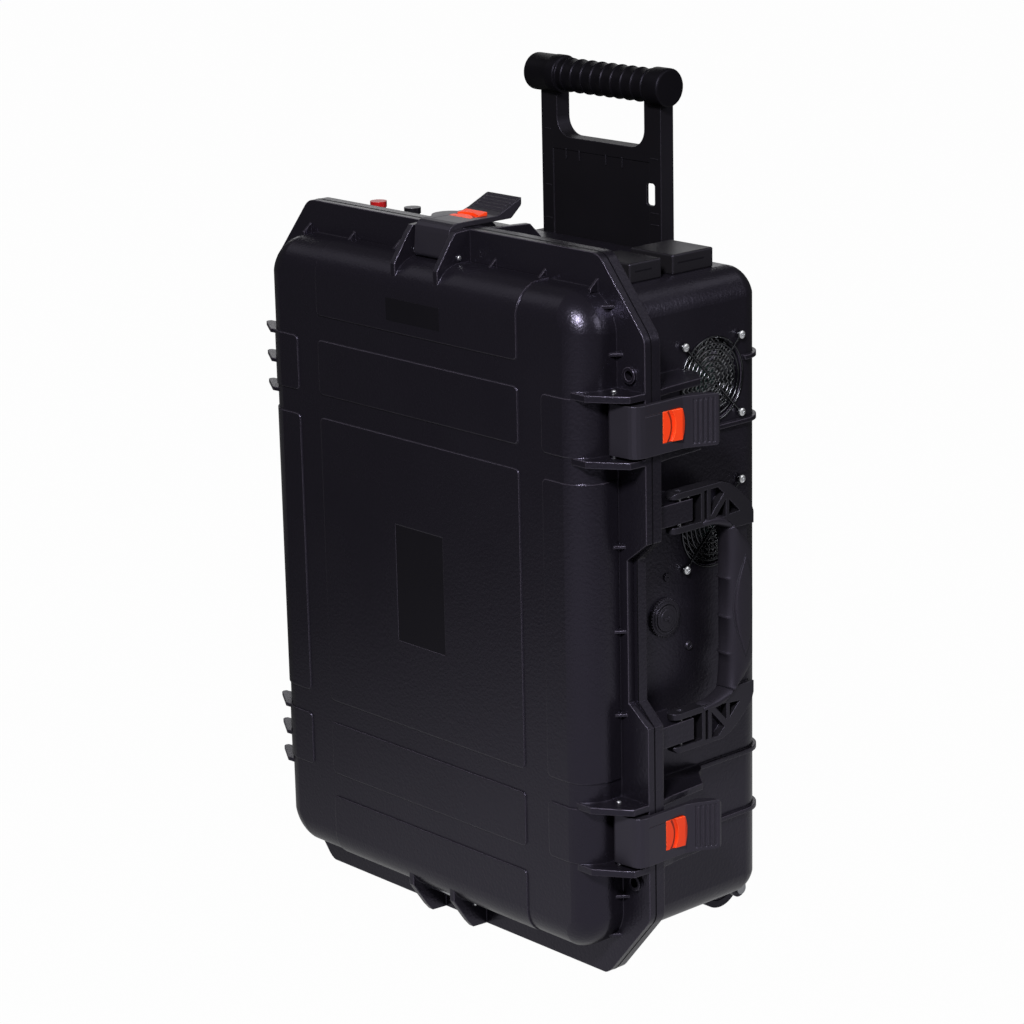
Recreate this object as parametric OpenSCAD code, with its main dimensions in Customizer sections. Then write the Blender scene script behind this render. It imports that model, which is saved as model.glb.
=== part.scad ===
// Wheeled hard equipment case with two cooling fans, standing upright on its wheel end.
// +Z is up, +X the side with the latches and the carry handle, -Y the lid side.
// The origin is on the floor under the middle of the closed case.

/* [Rim] */
// Width over the rim, from the hinge side to the latch side
rim_w = 508.8; // [460:0.1:560]
// Height over the rim
rim_h = 672; // [620:1:740]
// Corner chamfer of the rim, across
rim_chamfer_w = 56; // [40:1:70]
// Corner chamfer of the rim, upward
rim_chamfer_h = 68; // [50:1:80]
// Rounding at both ends of a chamfer
rim_corner_r = 18; // [8:1:26]
// Thickness of the lid half of the rim
lid_rim_t = 7.8; // [6:0.1:10]
// Thickness of the base half of the rim
base_rim_t = 10.9; // [8:0.1:12]
// Gap between the two closed halves
seam = 0.4; // [0.3:0.05:1]
// Depth of the hand notch in the lid rim
lid_notch = 24.4; // [15:0.1:28]
// Depth of the hand notch in the base rim
base_notch = 20; // [12:0.1:26]
// Height of the hand notch at its floor
notch_h = 132; // [100:1:150]
// Run of the slope at each end of the hand notch
notch_slope = 19; // [10:1:25]
// Gap under the lid rim, so that the lid swings clear of the floor
lid_floor_gap = 0.8; // [0.5:0.1:2]

/* [Lid] */
// Width of the lid over its walls
lid_w = 440; // [400:1:480]
// Height of the lid over its walls
lid_h = 611; // [570:1:650]
// Depth of the lid from the seam to its face
lid_d = 50; // [44:1:70]
// Radius of the upright lid corners
lid_corner_r = 40; // [30:1:50]
// Radius of the edge round the lid face
lid_edge_r = 28; // [16:1:32]
// Wall of both shells
wall = 4; // [3:0.1:5]
// Height of the raised face panels
panel_rise = 1.2; // [0.5:0.1:2]
// Width of the middle column of panels
panel_w = 276.6; // [240:0.1:300]
// Corner radius of the panels
panel_r = 5; // [2:0.5:10]
// Height of the middle panel
panel_mid_h = 281; // [240:1:300]
// Distance of the cross panels from the middle
panel_cross_z = 189.4; // [180:0.1:200]
// Height of the cross panels
panel_cross_h = 52.1; // [40:0.1:60]
// Distance of the end panels' inner edge from the middle
panel_end_z = 239.5; // [230:0.1:260]
// Distance of the side panels' inner edge from the middle
panel_side_x = 169; // [155:1:185]
// Width and height of the blank plate in the middle panel
plate_w = 66; // [40:1:100]
plate_h = 113; // [80:1:160]
// Thickness of the blank plate
plate_t = 0.8; // [0.5:0.1:1.5]

/* [Base] */
// Width of the base over its walls
base_w = 422; // [390:1:440]
// Height of the base over its walls
base_h = 608; // [570:1:640]
// How far the base sits below the middle of the rim
base_drop = 5.5; // [0:0.1:8]
// Depth of the base from the seam to its back
base_d = 186; // [170:1:220]
// Radius of the upright base corners
base_corner_r = 30; // [24:1:40]
// Radius of the edge round the base back
base_edge_r = 25; // [16:1:32]
// How far the wrap-round ribs stand out
rib_rise = 3.5; // [2:0.1:5]
// Thickness of the wrap-round ribs
rib_t = 4; // [3:0.1:6]
// Where the wrap-round ribs begin behind the seam
rib_start = 92; // [80:1:110]

/* [Latches and hinges] */
// Distance of the side latches and the hinges from the middle
station_z = 188.6; // [175:0.1:200]
// Spacing of the two guard ribs at a latch
guard_pitch = 58.6; // [56:0.1:64]
// Thickness of the guard ribs
guard_t = 6; // [4:0.1:8]
// Width of a latch lever
lever_w = 46.5; // [40:0.5:50]
// Latch pivot, inward from the rim edge
pivot_in = 24; // [22:0.5:26]
// Latch pivot, in front of the seam
pivot_front = 22; // [20:0.5:24]
// Radius of the latch pins, hinge pins and their press holes
pin_r = 2.5; // [2:0.1:3]
// Running clearance round a pin
run_gap = 0.08; // [0.03:0.01:0.1]
// Reach of a lever end beyond the rim
lever_flare = 18; // [14:0.5:24]
// Radius of the hinge barrel
barrel_r = 6; // [5:0.5:8]
// Hinge axis, out from the rim edge
hinge_out = 12; // [11:0.5:14]
// Hinge axis behind the seam
hinge_back = 13; // [12:0.5:15]
// Thickness of the hinge fins on the lid
fin_t = 3.6; // [3:0.1:6]
// Spacing of the hinge fins
fin_pitch = 28.5; // [24:0.1:32]
// Endwise gap between hinge knuckles
knuckle_gap = 0.4; // [0.3:0.1:1]
// Radius of the padlock holes
lock_r = 4.5; // [3:0.5:5]
// Travel of the latch buttons
latch_press = 2; // [1:0.1:2.2]

/* [Carry handle] */
// Distance of the handle brackets from the middle
bracket_z = 102.5; // [95:0.5:110]
// Width of a bracket
bracket_w = 20; // [16:0.5:22]
// Height of the carry handle over its arms
carry_h = 242; // [230:1:250]
// Depth of the handle frame
carry_t = 14; // [10:0.5:16]
// Handle pivot behind the seam
carry_pivot_y = 46; // [40:1:52]
// Handle pivot, out from the base wall
carry_stand = 29; // [26:0.5:34]
// Radius of the handle pins
carry_pin_r = 3; // [2.5:0.1:3.5]
// Distance from the pivot to the middle of the grip
carry_reach = 75.5; // [68:0.5:82]
// Length of the soft grip
carry_grip_h = 150; // [120:1:160]
// Thickness of the soft grip, outward
carry_grip_w = 26; // [22:0.5:30]
// Depth of the soft grip, front to back
carry_grip_d = 31; // [26:0.5:36]
// Rise of the rings round the soft grip
grip_ring = 1.2; // [0.5:0.1:2]
// Height of a handle arm at its fork
carry_arm_h = 37; // [34:0.5:40]
// Reach of the fork in front of the pivot
carry_nose = 13; // [11:0.5:16]

/* [Trolley handle] */
// Width of the trolley plate
trolley_w = 161; // [130:1:165]
// Thickness of the trolley plate
trolley_t = 16.4; // [12:0.1:20]
// Height of the grip bar above the middle of the case, as drawn
trolley_bar_z = 446; // [440:1:470]
// Length of the trolley plate below the bar
trolley_len = 596; // [500:1:610]
// Length of the grip bar
bar_w = 180; // [165:1:190]
// Radius of the grip bar at its core
bar_r = 14.5; // [12:0.5:16]
// Skin of the trolley plate, hollow from behind
trolley_skin = 3.4; // [2.5:0.1:6]
// Sliding gap round the trolley plate
slide_gap = 0.6; // [0.3:0.1:1]
// Wall of the guide
guide_t = 5; // [4:0.5:8]

/* [Fans and fittings] */
// Size of a fan frame
fan_size = 80; // [76:1:92]
// Screw spacing of a fan
fan_pitch = 71.5; // [68:0.1:82.5]
// Depth of a fan frame
fan_d = 25; // [15:1:25]
// Depth of the ring that a fan sits on inside the wall
fan_seat = 5; // [2:0.5:8]
// Fans behind the seam
fan_y = 118.5; // [112:0.5:124]
// Upper fan above the middle
fan_upper_z = 204.2; // [200:0.1:210]
// Lower fan above the middle
fan_lower_z = 69.9; // [60:0.1:78]
// Radius of the fan openings
fan_hole_r = 38; // [34:0.5:38.5]
// Blades of a rotor
fan_blades = 7; // [5:1:9]
// Wire radius of the finger guards
wire_r = 0.9; // [0.6:0.1:1.2]
// Radius of the fan screws
screw_r = 1.9; // [1.5:0.1:2.1]
// Radius of the pressure valve collar
valve_r = 17; // [14:0.5:20]
// Radius of the push-button caps
cap_r = 8; // [6:0.5:9]
// Radius of the round turning cap beside the buttons
round_cap_r = 17.5; // [12:0.5:20]
// Travel of the push buttons
cap_press = 3; // [2:0.5:4]

/* [Wheels] */
// Wheel radius
wheel_r = 27; // [24:0.5:30]
// Wheel width
wheel_w = 25; // [20:0.5:28]
// Distance of a wheel's middle from the middle of the case
wheel_x = 149.5; // [140:0.5:155]
// Axle behind the seam
axle_y = 178; // [170:1:180]
// Radius of the axles
axle_r = 4; // [3:0.5:5]
// Side gap of a wheel in its well
wheel_gap = 1.2; // [0.5:0.1:2]

/* [Hidden] */
$fn = 64;
skew = 0.4;
rim_x = rim_w / 2;
rim_z = rim_h / 2;
lid_x = lid_w / 2;
lid_z = lid_h / 2;
base_x = base_w / 2;
base_top = base_h / 2 - base_drop;
base_low = base_h / 2 + base_drop;
guard_z = guard_pitch / 2;
inner_x = base_x - wall;
side_in = rim_x - base_x;
top_in = rim_z - base_top;
lid_in = rim_x - lid_x;
lock_x = rim_x - 17.4;
lock_z = rim_z - 101.5;
lever_barrel_r = 4.8;
rim_gap = 0.6;
pocket_x = 2.2;
pocket_gap = 0.4;
button_from = 8.5;
button_to = 33.5;
button_w = 28;
button_bow_r = 28;
lever_face = 5.2;
lever_nose = [[-10, -25.6], [-4, -25], [0, -24], [2.8, -21.6], [4.5, -18]];
lever_flat_from = -13;
lever_flat_to = 33;
lever_heel = 50;
lever_tail = 64;
lever_tip = 3;
lever_corner_r = 7;
lever_mark_z = 13;
lever_mark_w = 0.7;
tab_from = 40;
tab_foot = 7.4;
thumb_groove_r = 1.2;
thumb_groove_out = 0.4;
thumb_groove_from = 43;
thumb_groove_pitch = 4.3;
thumb_groove_end = 3;
bow_reach = 60;
hinge_gap = 0.5;
hinge_x = rim_x + hinge_out;
fin_drop = 4;
knuckle_w = guard_pitch / 2 - guard_t - 2 * knuckle_gap;
pin_len = guard_pitch + guard_t + 2;
plate_y = base_d + slide_gap;
slot_y = plate_y + trolley_t + slide_gap;
guide_back = slot_y + guide_t;
front_y = lid_d + panel_rise;
trolley_bottom = trolley_bar_z - trolley_len;
rail_w = 15.5;
post_in = trolley_w / 2 - rail_w - 6;
bar_y = plate_y + 3.4;
axle_z = -rim_z + wheel_r;
well_w = wheel_w + 2 * wheel_gap;
cheek_t = 4;
axle_head_x = wheel_x + 38;
carry_pivot_x = base_x + carry_stand;
grip_y = carry_pivot_y + carry_reach;
grip_x = carry_pivot_x - 3;
button_y = 60;
red_x = -176;
black_x = -126;
round_x = -72;
switch_h = 20;
seal_w = 5;
seal_d = 3;
fan_in = inner_x - fan_seat;
leg_rise = 1.3;
axle_head_r = 5.5;

// Stands the case on the floor with its middle over the origin.
module placed() {
    translate([0, (front_y - guide_back) / 2, rim_z]) children();
}

module rounded_rect(w, h, r) {
    square([w - 2 * r, h], center = true);
    square([w, h - 2 * r], center = true);
    for (sx = [-1, 1], sy = [-1, 1])
        translate([sx * (w / 2 - r), sy * (h / 2 - r)]) circle(r);
}

// A dish with its open side half a seam in front of the seam plane and its rounded face toward -Y.
// The three outlines differ by a hair so that no two rounded faces run into each other.
module plain_dish(w, h, d, corner_r, edge_r) {
    intersection() {
        translate([0, -seam / 2, 0]) rotate([90, 0, 0]) linear_extrude(d + 1)
            rounded_rect(w + skew, h + skew, corner_r);
        linear_extrude(h + 2, center = true) rounded_rect(w, 2 * d + skew, edge_r);
        rotate([0, 90, 0]) linear_extrude(w + 2, center = true) rounded_rect(h, 2 * d, edge_r);
    }
}

// What a round corner leaves of a square one, about the corner's own axis.
module corner_trim(d, corner_r, edge_r) {
    r = corner_r + skew;
    difference() {
        translate([0, -d - 2, 0]) cube([r + 4, edge_r + 4, r + 4]);
        rotate([90, 0, 0]) rotate_extrude() {
            square([r, d - edge_r + skew]);
            square([r - edge_r, d + skew]);
            translate([r - edge_r, d - edge_r + skew]) intersection() {
                circle(edge_r);
                square(edge_r);
            }
        }
    }
}

// The same dish with its four face corners rounded off.
module dish(w, h, d, corner_r, edge_r) {
    difference() {
        plain_dish(w, h, d, corner_r, edge_r);
        for (sx = [0, 1], sz = [0, 1]) mirror([sx, 0, 0]) mirror([0, 0, sz])
            translate([w / 2 - corner_r, 0, h / 2 - corner_r]) corner_trim(d, corner_r, edge_r);
    }
}

module lid_form(grow) {
    dish(lid_w + 2 * grow, lid_h + 2 * grow, lid_d + grow, lid_corner_r + grow, lid_edge_r + grow);
}

module lid_wrap(grow) {
    plain_dish(lid_w + 2 * grow, lid_h + 2 * grow, lid_d + grow, lid_corner_r + grow, lid_edge_r + grow);
}

module base_form(grow) {
    translate([0, 0, -base_drop]) mirror([0, 1, 0])
        dish(base_w + 2 * grow, base_h + 2 * grow, base_d + grow, base_corner_r + grow, base_edge_r + grow);
}

module base_wrap(grow) {
    translate([0, 0, -base_drop]) mirror([0, 1, 0])
        plain_dish(base_w + 2 * grow, base_h + 2 * grow, base_d + grow, base_corner_r + grow, base_edge_r + grow);
}

function flip(points, sx, sz) = [for (q = points) [sx * q[0], sz * q[1]]];
function back_order(points) = [for (i = [len(points) - 1 : -1 : 0]) points[i]];

// Outline of the rim in X and Z with the hand notch on the latch side; arcs round off the chamfers.
module rim_outline(notch, bottom_gap) {
    slope = sqrt(rim_chamfer_w * rim_chamfer_w + rim_chamfer_h * rim_chamfer_h);
    along = [-rim_chamfer_w, rim_chamfer_h] / slope;
    side_cut = rim_corner_r * (slope - rim_chamfer_h) / rim_chamfer_w;
    end_cut = rim_corner_r * (slope - rim_chamfer_w) / rim_chamfer_h;
    side = [rim_x, rim_z - rim_chamfer_h];
    end = [rim_x - rim_chamfer_w, rim_z];
    corner = [side - [0, side_cut], side + side_cut * along, end - end_cut * along, end - [end_cut, 0]];
    notch_end = notch_h / 2 + notch_slope;
    difference() {
        union() {
            polygon(concat(corner, back_order(flip(corner, -1, 1)), flip(corner, -1, -1), back_order(flip(corner, 1, -1))));
            for (sx = [-1, 1], sz = [-1, 1]) {
                translate([sx * (rim_x - rim_corner_r), sz * (side[1] - side_cut)]) circle(rim_corner_r);
                translate([sx * (end[0] - end_cut), sz * (rim_z - rim_corner_r)]) circle(rim_corner_r);
            }
        }
        polygon([[rim_x, -notch_end], [rim_x - notch, -notch_h / 2], [rim_x - notch, notch_h / 2],
            [rim_x, notch_end], [rim_x + 9, notch_end], [rim_x + 9, -notch_end]]);
        translate([-rim_x, -rim_z - 9 + bottom_gap]) square([rim_w, 9]);
    }
}

// A flat plate between two depths behind the seam.
module sheet_y(from, to) {
    translate([0, to, 0]) rotate([90, 0, 0]) linear_extrude(to - from) children();
}

// A bar along Z, centred on its own height.
module upright(h) {
    linear_extrude(h, center = true) children();
}

// The places of the latches: X of the local frame points out of the rim.
module at_side(z) {
    translate([rim_x, 0, z]) children();
}

module at_top() {
    translate([0, 0, rim_z]) rotate([0, -90, 0]) children();
}

module at_bottom() {
    translate([0, 0, -rim_z + lid_floor_gap]) rotate([0, 90, 0]) children();
}

module pair(pitch) {
    for (s = [-1, 1]) translate([0, 0, s * pitch / 2]) children();
}

module along_x() {
    rotate([0, 90, 0]) children();
}

// Lid guards: a pair of ribs that hold the latch pin.
module lid_guard() {
    front = -lid_d + 1.8;
    pair(guard_pitch) upright(guard_t)
        polygon([[-56, -4], [-56, front + 2], [-50, front], [-33, front],
            [-8, -31], [-1, -25], [0, -lid_rim_t], [0, -4]]);
}

module pivot_bore(r) {
    translate([-pivot_in, -pivot_front, 0]) cylinder(h = guard_pitch + 3 * guard_t, r = r, center = true);
}

// Base guards: the ribs go on behind the rim, turn in with a round corner and run out along the wall.
module base_guard(depth) {
    knee = 67.5;
    run = 31.5;
    root = -depth - wall / 2;
    pair(guard_pitch) upright(guard_t)
        polygon([[root, 6], [-0.5, 6], [-0.5, base_rim_t], [-3, 25], [-5, knee - 6], [-5.4, knee - 1.6], [-7, knee],
            [-0.4 * depth, knee + 0.25 * run], [-0.62 * depth, knee + 0.5 * run], [-0.74 * depth, knee + 0.75 * run],
            [-0.86 * depth, knee + 0.92 * run], [-depth, knee + run], [root, knee + run]]);
}

// Hinge: three lid arms and two base knuckles on one upright pin behind the rim edge.
module hinge_lid(z) {
    for (s = [-1, 0, 1]) translate([0, 0, z + s * guard_z]) {
        upright(guard_t)
            polygon([[-rim_x + 10, -1.2], [-rim_x + 10, -lid_rim_t], [-rim_x + 2.2, -lid_rim_t],
                [-rim_x - 6.3, 0], [-hinge_x - barrel_r + 0.6, hinge_back - 2.4], [-hinge_x, hinge_back],
                [-hinge_x + barrel_r - 0.8, hinge_back + 2], [-rim_x - hinge_gap, hinge_back - 7],
                [-rim_x - hinge_gap, -1.2]]);
        translate([-hinge_x, hinge_back, 0]) cylinder(h = guard_t, r = barrel_r, center = true);
    }
}

// Fins on the lid wall in front of a hinge.
module hinge_fins(z) {
    for (s = [-1, 0, 1]) translate([-lid_x, -lid_d, z - fin_drop + s * fin_pitch]) upright(fin_t)
        polygon([[18, lid_d / 2 + 3], [18, 2.4], [7, 1.6], [-21, 19], [-22.4, 22], [-21, 24.8], [2, 28]]);
}

module hinge_base(z) {
    for (s = [-1, 1]) translate([0, 0, z + s * guard_z / 2]) {
        upright(knuckle_w)
            polygon([[-base_x + 2, 44], [-base_x + 2, base_rim_t - 1], [-rim_x + 6, base_rim_t - 1],
                [-rim_x + 6, 1.6], [-rim_x - 2, 1.6], [-hinge_x - 2, hinge_back - barrel_r + 0.6],
                [-hinge_x - 4, hinge_back + 4.4], [-rim_x - 4, hinge_back + 13], [-rim_x + 14, hinge_back + 23]]);
        translate([-hinge_x, hinge_back, 0]) cylinder(h = knuckle_w, r = barrel_r, center = true);
    }
}

module hinge_bore(r) {
    for (z = [-station_z, station_z])
        translate([-hinge_x, hinge_back, z]) cylinder(h = guard_pitch + 3 * guard_t, r = r, center = true);
}

module padlock_bores() {
    for (s = [-1, 1])
        translate([lock_x, 0, s * lock_z]) rotate([90, 0, 0]) cylinder(h = 60, r = lock_r, center = true);
}

// Panel outlines on the lid face, drawn in X and Z.
module panel_plan() {
    rounded_rect(panel_w, panel_mid_h, panel_r);
    for (s = [-1, 1]) {
        translate([0, s * panel_cross_z]) rounded_rect(panel_w, panel_cross_h, panel_r);
        translate([0, s * (panel_end_z + 60)]) rounded_rect(panel_w, 120, panel_r);
        for (t = [-1, 1])
            translate([t * (panel_side_x + 60), s * station_z]) rounded_rect(120, guard_pitch - guard_t, panel_r);
        translate([s * (panel_side_x + 60), 0]) rounded_rect(120, panel_mid_h - 4, panel_r);
    }
}

// Small webs between the lid walls and the rim.
module gusset() {
    reach = 8;
    rise = 9;
    upright(2.5)
        polygon([[-3, -6], [reach, -6], [reach, -lid_rim_t], [0.4, -lid_rim_t - rise], [-3, -lid_rim_t - rise]]);
}

module gussets() {
    corner_in = 10;
    for (k = [-0.893, 0.893]) translate([k * lid_x, 0, lid_z]) rotate([0, -90, 0]) gusset();
    for (s = [-1, 1]) {
        for (k = [-0.595, -0.298, 0.298, 0.595])
            translate([k * lid_x, 0, s * lid_z]) rotate([0, -s * 90, 0]) gusset();
        for (k = [-0.955, 0.955])
            translate([s * (lid_x - corner_in), 0, k * lid_z]) rotate([0, s > 0 ? 0 : 180, 0]) gusset();
        for (k = [-0.822, -0.255, 0, 0.255, 0.822])
            translate([s * lid_x, 0, k * lid_z]) rotate([0, s > 0 ? 0 : 180, 0]) gusset();
    }
}

module seal_plan(grow) {
    rounded_rect(lid_w + 9 + 2 * grow, lid_h + 9 + 2 * grow, lid_corner_r + 4 + grow);
}

module seal_ring(from, to) {
    sheet_y(from, to) difference() {
        seal_plan(seal_w / 2);
        seal_plan(-seal_w / 2);
    }
}

module lid_shell() {
    color("#1d1d20") difference() {
        union() {
            lid_form(0);
            intersection() {
                lid_wrap(panel_rise);
                sheet_y(-lid_d - 20, -lid_rim_t - 2) panel_plan();
            }
            sheet_y(-lid_rim_t, -seam / 2) rim_outline(lid_notch, lid_floor_gap);
            at_side(station_z) lid_guard();
            at_side(-station_z) lid_guard();
            at_top() lid_guard();
            at_bottom() lid_guard();
            hinge_lid(station_z);
            hinge_lid(-station_z);
            hinge_fins(station_z);
            hinge_fins(-station_z);
            gussets();
            for (s = [-1, 1])
                translate([lock_x, -lid_rim_t + 1, s * lock_z]) rotate([90, 0, 0]) cylinder(h = 4, r = lock_r + 3);
        }
        translate([0, seam, 0]) lid_form(-wall);
        seal_ring(-seal_d, 1);
        padlock_bores();
        hinge_bore(pin_r);
        at_side(station_z) pivot_bore(pin_r);
        at_side(-station_z) pivot_bore(pin_r);
        at_top() pivot_bore(pin_r);
        at_bottom() pivot_bore(pin_r);
        translate([-plate_w / 2, -front_y - 1, -plate_h / 2]) cube([plate_w, 1 + plate_t, plate_h]);
    }
}

module lid_gasket() {
    color("#2b2b2b") seal_ring(-seal_d, -0.1);
}

module lid_plate() {
    color("#26262a")
        translate([-plate_w / 2, -front_y, -plate_h / 2]) cube([plate_w, plate_t, plate_h]);
}

// Ribs that wrap from the side walls round the back corners of the base.
module base_ribs() {
    inner = base_x - 60;
    intersection() {
        base_wrap(rib_rise);
        for (s = [-1, 1], z = [-station_z - guard_z, -station_z + guard_z, station_z - guard_z, station_z + guard_z])
            translate([s > 0 ? inner : -base_x - 10, rib_start, z - rib_t / 2]) cube([70, base_d, rib_t]);
    }
}

module carry_brackets() {
    for (s = [-1, 1])
        translate([base_x - wall / 2, 6, s * bracket_z - bracket_w / 2])
            cube([carry_pivot_x + 6 - base_x + wall / 2, carry_pivot_y + 12 - 6, bracket_w]);
}

module carry_bores(r) {
    for (s = [-1, 1])
        translate([carry_pivot_x, carry_pivot_y, s * bracket_z]) cylinder(h = bracket_w + 30, r = r, center = true);
}

// Round the axle: r, from and to are the radius and the reach in X on the right side.
module axle_round(r, from, to) {
    translate([from, axle_y, axle_z]) along_x() cylinder(h = to - from, r = r);
}

module wheel_well() {
    axle_round(wheel_r + 7, wheel_x - well_w / 2 - cheek_t, wheel_x + well_w / 2 + cheek_t);
}

// Bracket plates on both sides of a wheel, drawn down from the base to the axle.
module wheel_bracket(r, from, to) {
    axle_round(r, from, to);
    translate([from, axle_y - r, axle_z]) cube([to - from, 2 * r - 2, 26]);
}

module wheel_cheeks() {
    wheel_bracket(11, wheel_x - well_w / 2 - cheek_t, wheel_x - well_w / 2);
    wheel_bracket(9, wheel_x + well_w / 2, axle_head_x - 0.5);
}

module wheel_cut() {
    axle_round(wheel_r + 3, wheel_x - well_w / 2, wheel_x + well_w / 2);
    axle_round(axle_r, wheel_x - 40, wheel_x + 60);
    axle_round(axle_head_r + 0.5, axle_head_x - 0.5, axle_head_x + 30);
}

module both_sides() {
    children();
    mirror([1, 0, 0]) children();
}

module at_fan(z, x) {
    translate([x, fan_y, z]) along_x() children();
}

module at_fan_screws() {
    for (sx = [-1, 1], sy = [-1, 1]) translate([sx * fan_pitch / 2, sy * fan_pitch / 2, 0]) children();
}

module valve_at(x) {
    translate([x, 55.4, -4.5]) along_x() children();
}

module rivet_at(x, y, z) {
    translate([x, y, z]) along_x() children();
}

module base_shell() {
    color("#1d1d20") difference() {
        union() {
            difference() {
                union() {
                    base_form(0);
                    sheet_y(seam / 2, base_rim_t) rim_outline(base_notch, 0);
                    base_ribs();
                    carry_brackets();
                    at_side(station_z) base_guard(side_in);
                    at_side(-station_z) base_guard(side_in);
                    at_top() base_guard(top_in);
                    hinge_base(station_z);
                    hinge_base(-station_z);
                }
                translate([0, -seam, 0]) base_form(-wall);
            }
            both_sides() intersection() {
                base_form(-1);
                wheel_well();
            }
            both_sides() wheel_cheeks();
            for (z = [fan_upper_z, fan_lower_z]) at_fan(z, fan_in) cylinder(h = fan_seat + 1, r = fan_hole_r + 3);
        }
        both_sides() wheel_cut();
        padlock_bores();
        hinge_bore(pin_r + run_gap);
        carry_bores(carry_pin_r + run_gap);
        for (z = [fan_upper_z, fan_lower_z]) {
            at_fan(z, fan_in - 1) cylinder(h = 30, r = fan_hole_r);
            at_fan(z, base_x) cylinder(h = 40, r = fan_hole_r + 4);
            at_fan(z, inner_x - 5) at_fan_screws() cylinder(h = 20, r = screw_r + 0.1);
            at_fan(z, base_x) at_fan_screws() cylinder(h = 40, r = 6);
        }
        valve_at(inner_x - 5) cylinder(h = 20, r = 11);
        rivet_at(inner_x - 5, 87, -38.5) cylinder(h = 20, r = 2);
        rivet_at(inner_x - 5, 59.6, 32.2) cylinder(h = 20, r = 2);
        for (x = [red_x, black_x]) translate([x, button_y, base_top - 20]) cylinder(h = 40, r = cap_r + 0.5);
        translate([round_x, button_y, base_top - 20]) cylinder(h = 40, r = round_cap_r - 5);
    }
}

module pin(r, h) {
    cylinder(h = h, r = r, center = true);
}

module hinge_pin_upper() {
    color("#8f9196") translate([-hinge_x, hinge_back, station_z]) pin(pin_r, pin_len);
}

module hinge_pin_lower() {
    color("#8f9196") translate([-hinge_x, hinge_back, -station_z]) pin(pin_r, pin_len);
}

module latch_pin() {
    color("#c9cbcf") translate([-pivot_in, -pivot_front, 0]) pin(pin_r, pin_len);
}

module latch_pin_upper() {
    at_side(station_z) latch_pin();
}

module latch_pin_lower() {
    at_side(-station_z) latch_pin();
}

module latch_pin_top() {
    at_top() latch_pin();
}

module latch_pin_bottom() {
    at_bottom() latch_pin();
}

// Latch lever in its local frame: it wraps over both rims and flares out to a thumb tab.
module lever() {
    front = -lid_rim_t - rim_gap;
    mask_len = 150;
    difference() {
        intersection() {
            union() {
                upright(lever_w)
                    polygon(concat([[-pivot_in, -pivot_front - lever_barrel_r]], lever_nose,
                        [[lever_face, lever_flat_from], [lever_face, lever_flat_to], [tail_x(tab_from), tab_from],
                        [lever_flare, lever_tail], [lever_flare - 0.6, lever_tail + 2.4],
                        [lever_flare - 3.6, lever_tail + lever_tip], [rim_gap + 1, lever_heel + 2],
                        [rim_gap, lever_heel], [rim_gap, front], [-pivot_in + 2, front],
                        [-pivot_in - 3, -pivot_front + 4.6]]));
                translate([-pivot_in, -pivot_front, 0]) pin(lever_barrel_r, lever_w);
            }
            rotate([90, 0, 90]) linear_extrude(200, center = true)
                translate([lever_tail + lever_tip - mask_len / 2, 0])
                    rounded_rect(mask_len, lever_w + 1, lever_corner_r);
        }
        pivot_bore(pin_r + run_gap);
        intersection() {
            upright(button_w + 2 * pocket_gap)
                polygon([[20, button_from - pocket_gap], [20, button_to + 9], [pocket_x, button_to + 9],
                    [pocket_x, button_from - pocket_gap]]);
            button_bow(pocket_gap);
        }
        for (i = [0 : 4]) thumb_groove(thumb_groove_from + i * thumb_groove_pitch);
        translate([lever_face - 0.5, lever_flat_from, lever_mark_z])
            cube([2, button_from - lever_flat_from - 1, lever_mark_w]);
    }
}

// Outer face of the lever's tab at a distance behind the seam.
function tail_x(y) = tab_foot + (lever_flare - tab_foot) * (y - tab_from) / (lever_tail - tab_from);

// One groove across the outer face of the lever's tab.
module thumb_groove(y) {
    translate([tail_x(y) + thumb_groove_out, y, 0]) pin(thumb_groove_r, lever_w - 2 * thumb_groove_end);
}

module latch_lever_upper() {
    color("#232327") at_side(station_z) lever();
}

module latch_lever_lower() {
    color("#232327") at_side(-station_z) lever();
}

module latch_lever_top() {
    color("#232327") at_top() lever();
}

// The round rear edge of a latch button and of its pocket.
module button_bow(grow) {
    translate([0, button_to - button_bow_r, 0]) along_x() cylinder(h = bow_reach, r = button_bow_r + grow, center = true);
}

// Latch button: a slide with a round rear edge and a round groove for the thumb.
module latch_button() {
    foot = pocket_x + latch_press + 0.2;
    top = lever_face + 1.6;
    groove_at = button_from + 13.8;
    groove_w = 5.2;
    intersection() {
        difference() {
            upright(button_w)
                polygon([[lever_face, button_from], [top - 0.6, button_from + 9], [top + 1.4, button_to - 4],
                    [top + 0.2, button_to], [foot, button_to], [foot, button_from]]);
            translate([foot + 0.5, groove_at - button_bow_r, 0]) along_x() difference() {
                cylinder(h = 8, r = button_bow_r);
                translate([0, 0, -1]) cylinder(h = 10, r = button_bow_r - groove_w);
            }
        }
        button_bow(0);
    }
}

module latch_button_upper() {
    color("#e8541e") at_side(station_z) latch_button();
}

module latch_button_lower() {
    color("#e8541e") at_side(-station_z) latch_button();
}

module latch_button_top() {
    color("#e8541e") at_top() latch_button();
}

// Carry handle: a frame with trussed arms, forked round the brackets, and a soft grip.
module carry_core() {
    core_w = carry_grip_w / 2;
    core_d = carry_grip_d - 14;
    translate([grip_x - core_w / 2, grip_y - core_d / 2, -carry_grip_h / 2 - 1])
        cube([core_w, core_d, carry_grip_h + 2]);
}

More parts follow.
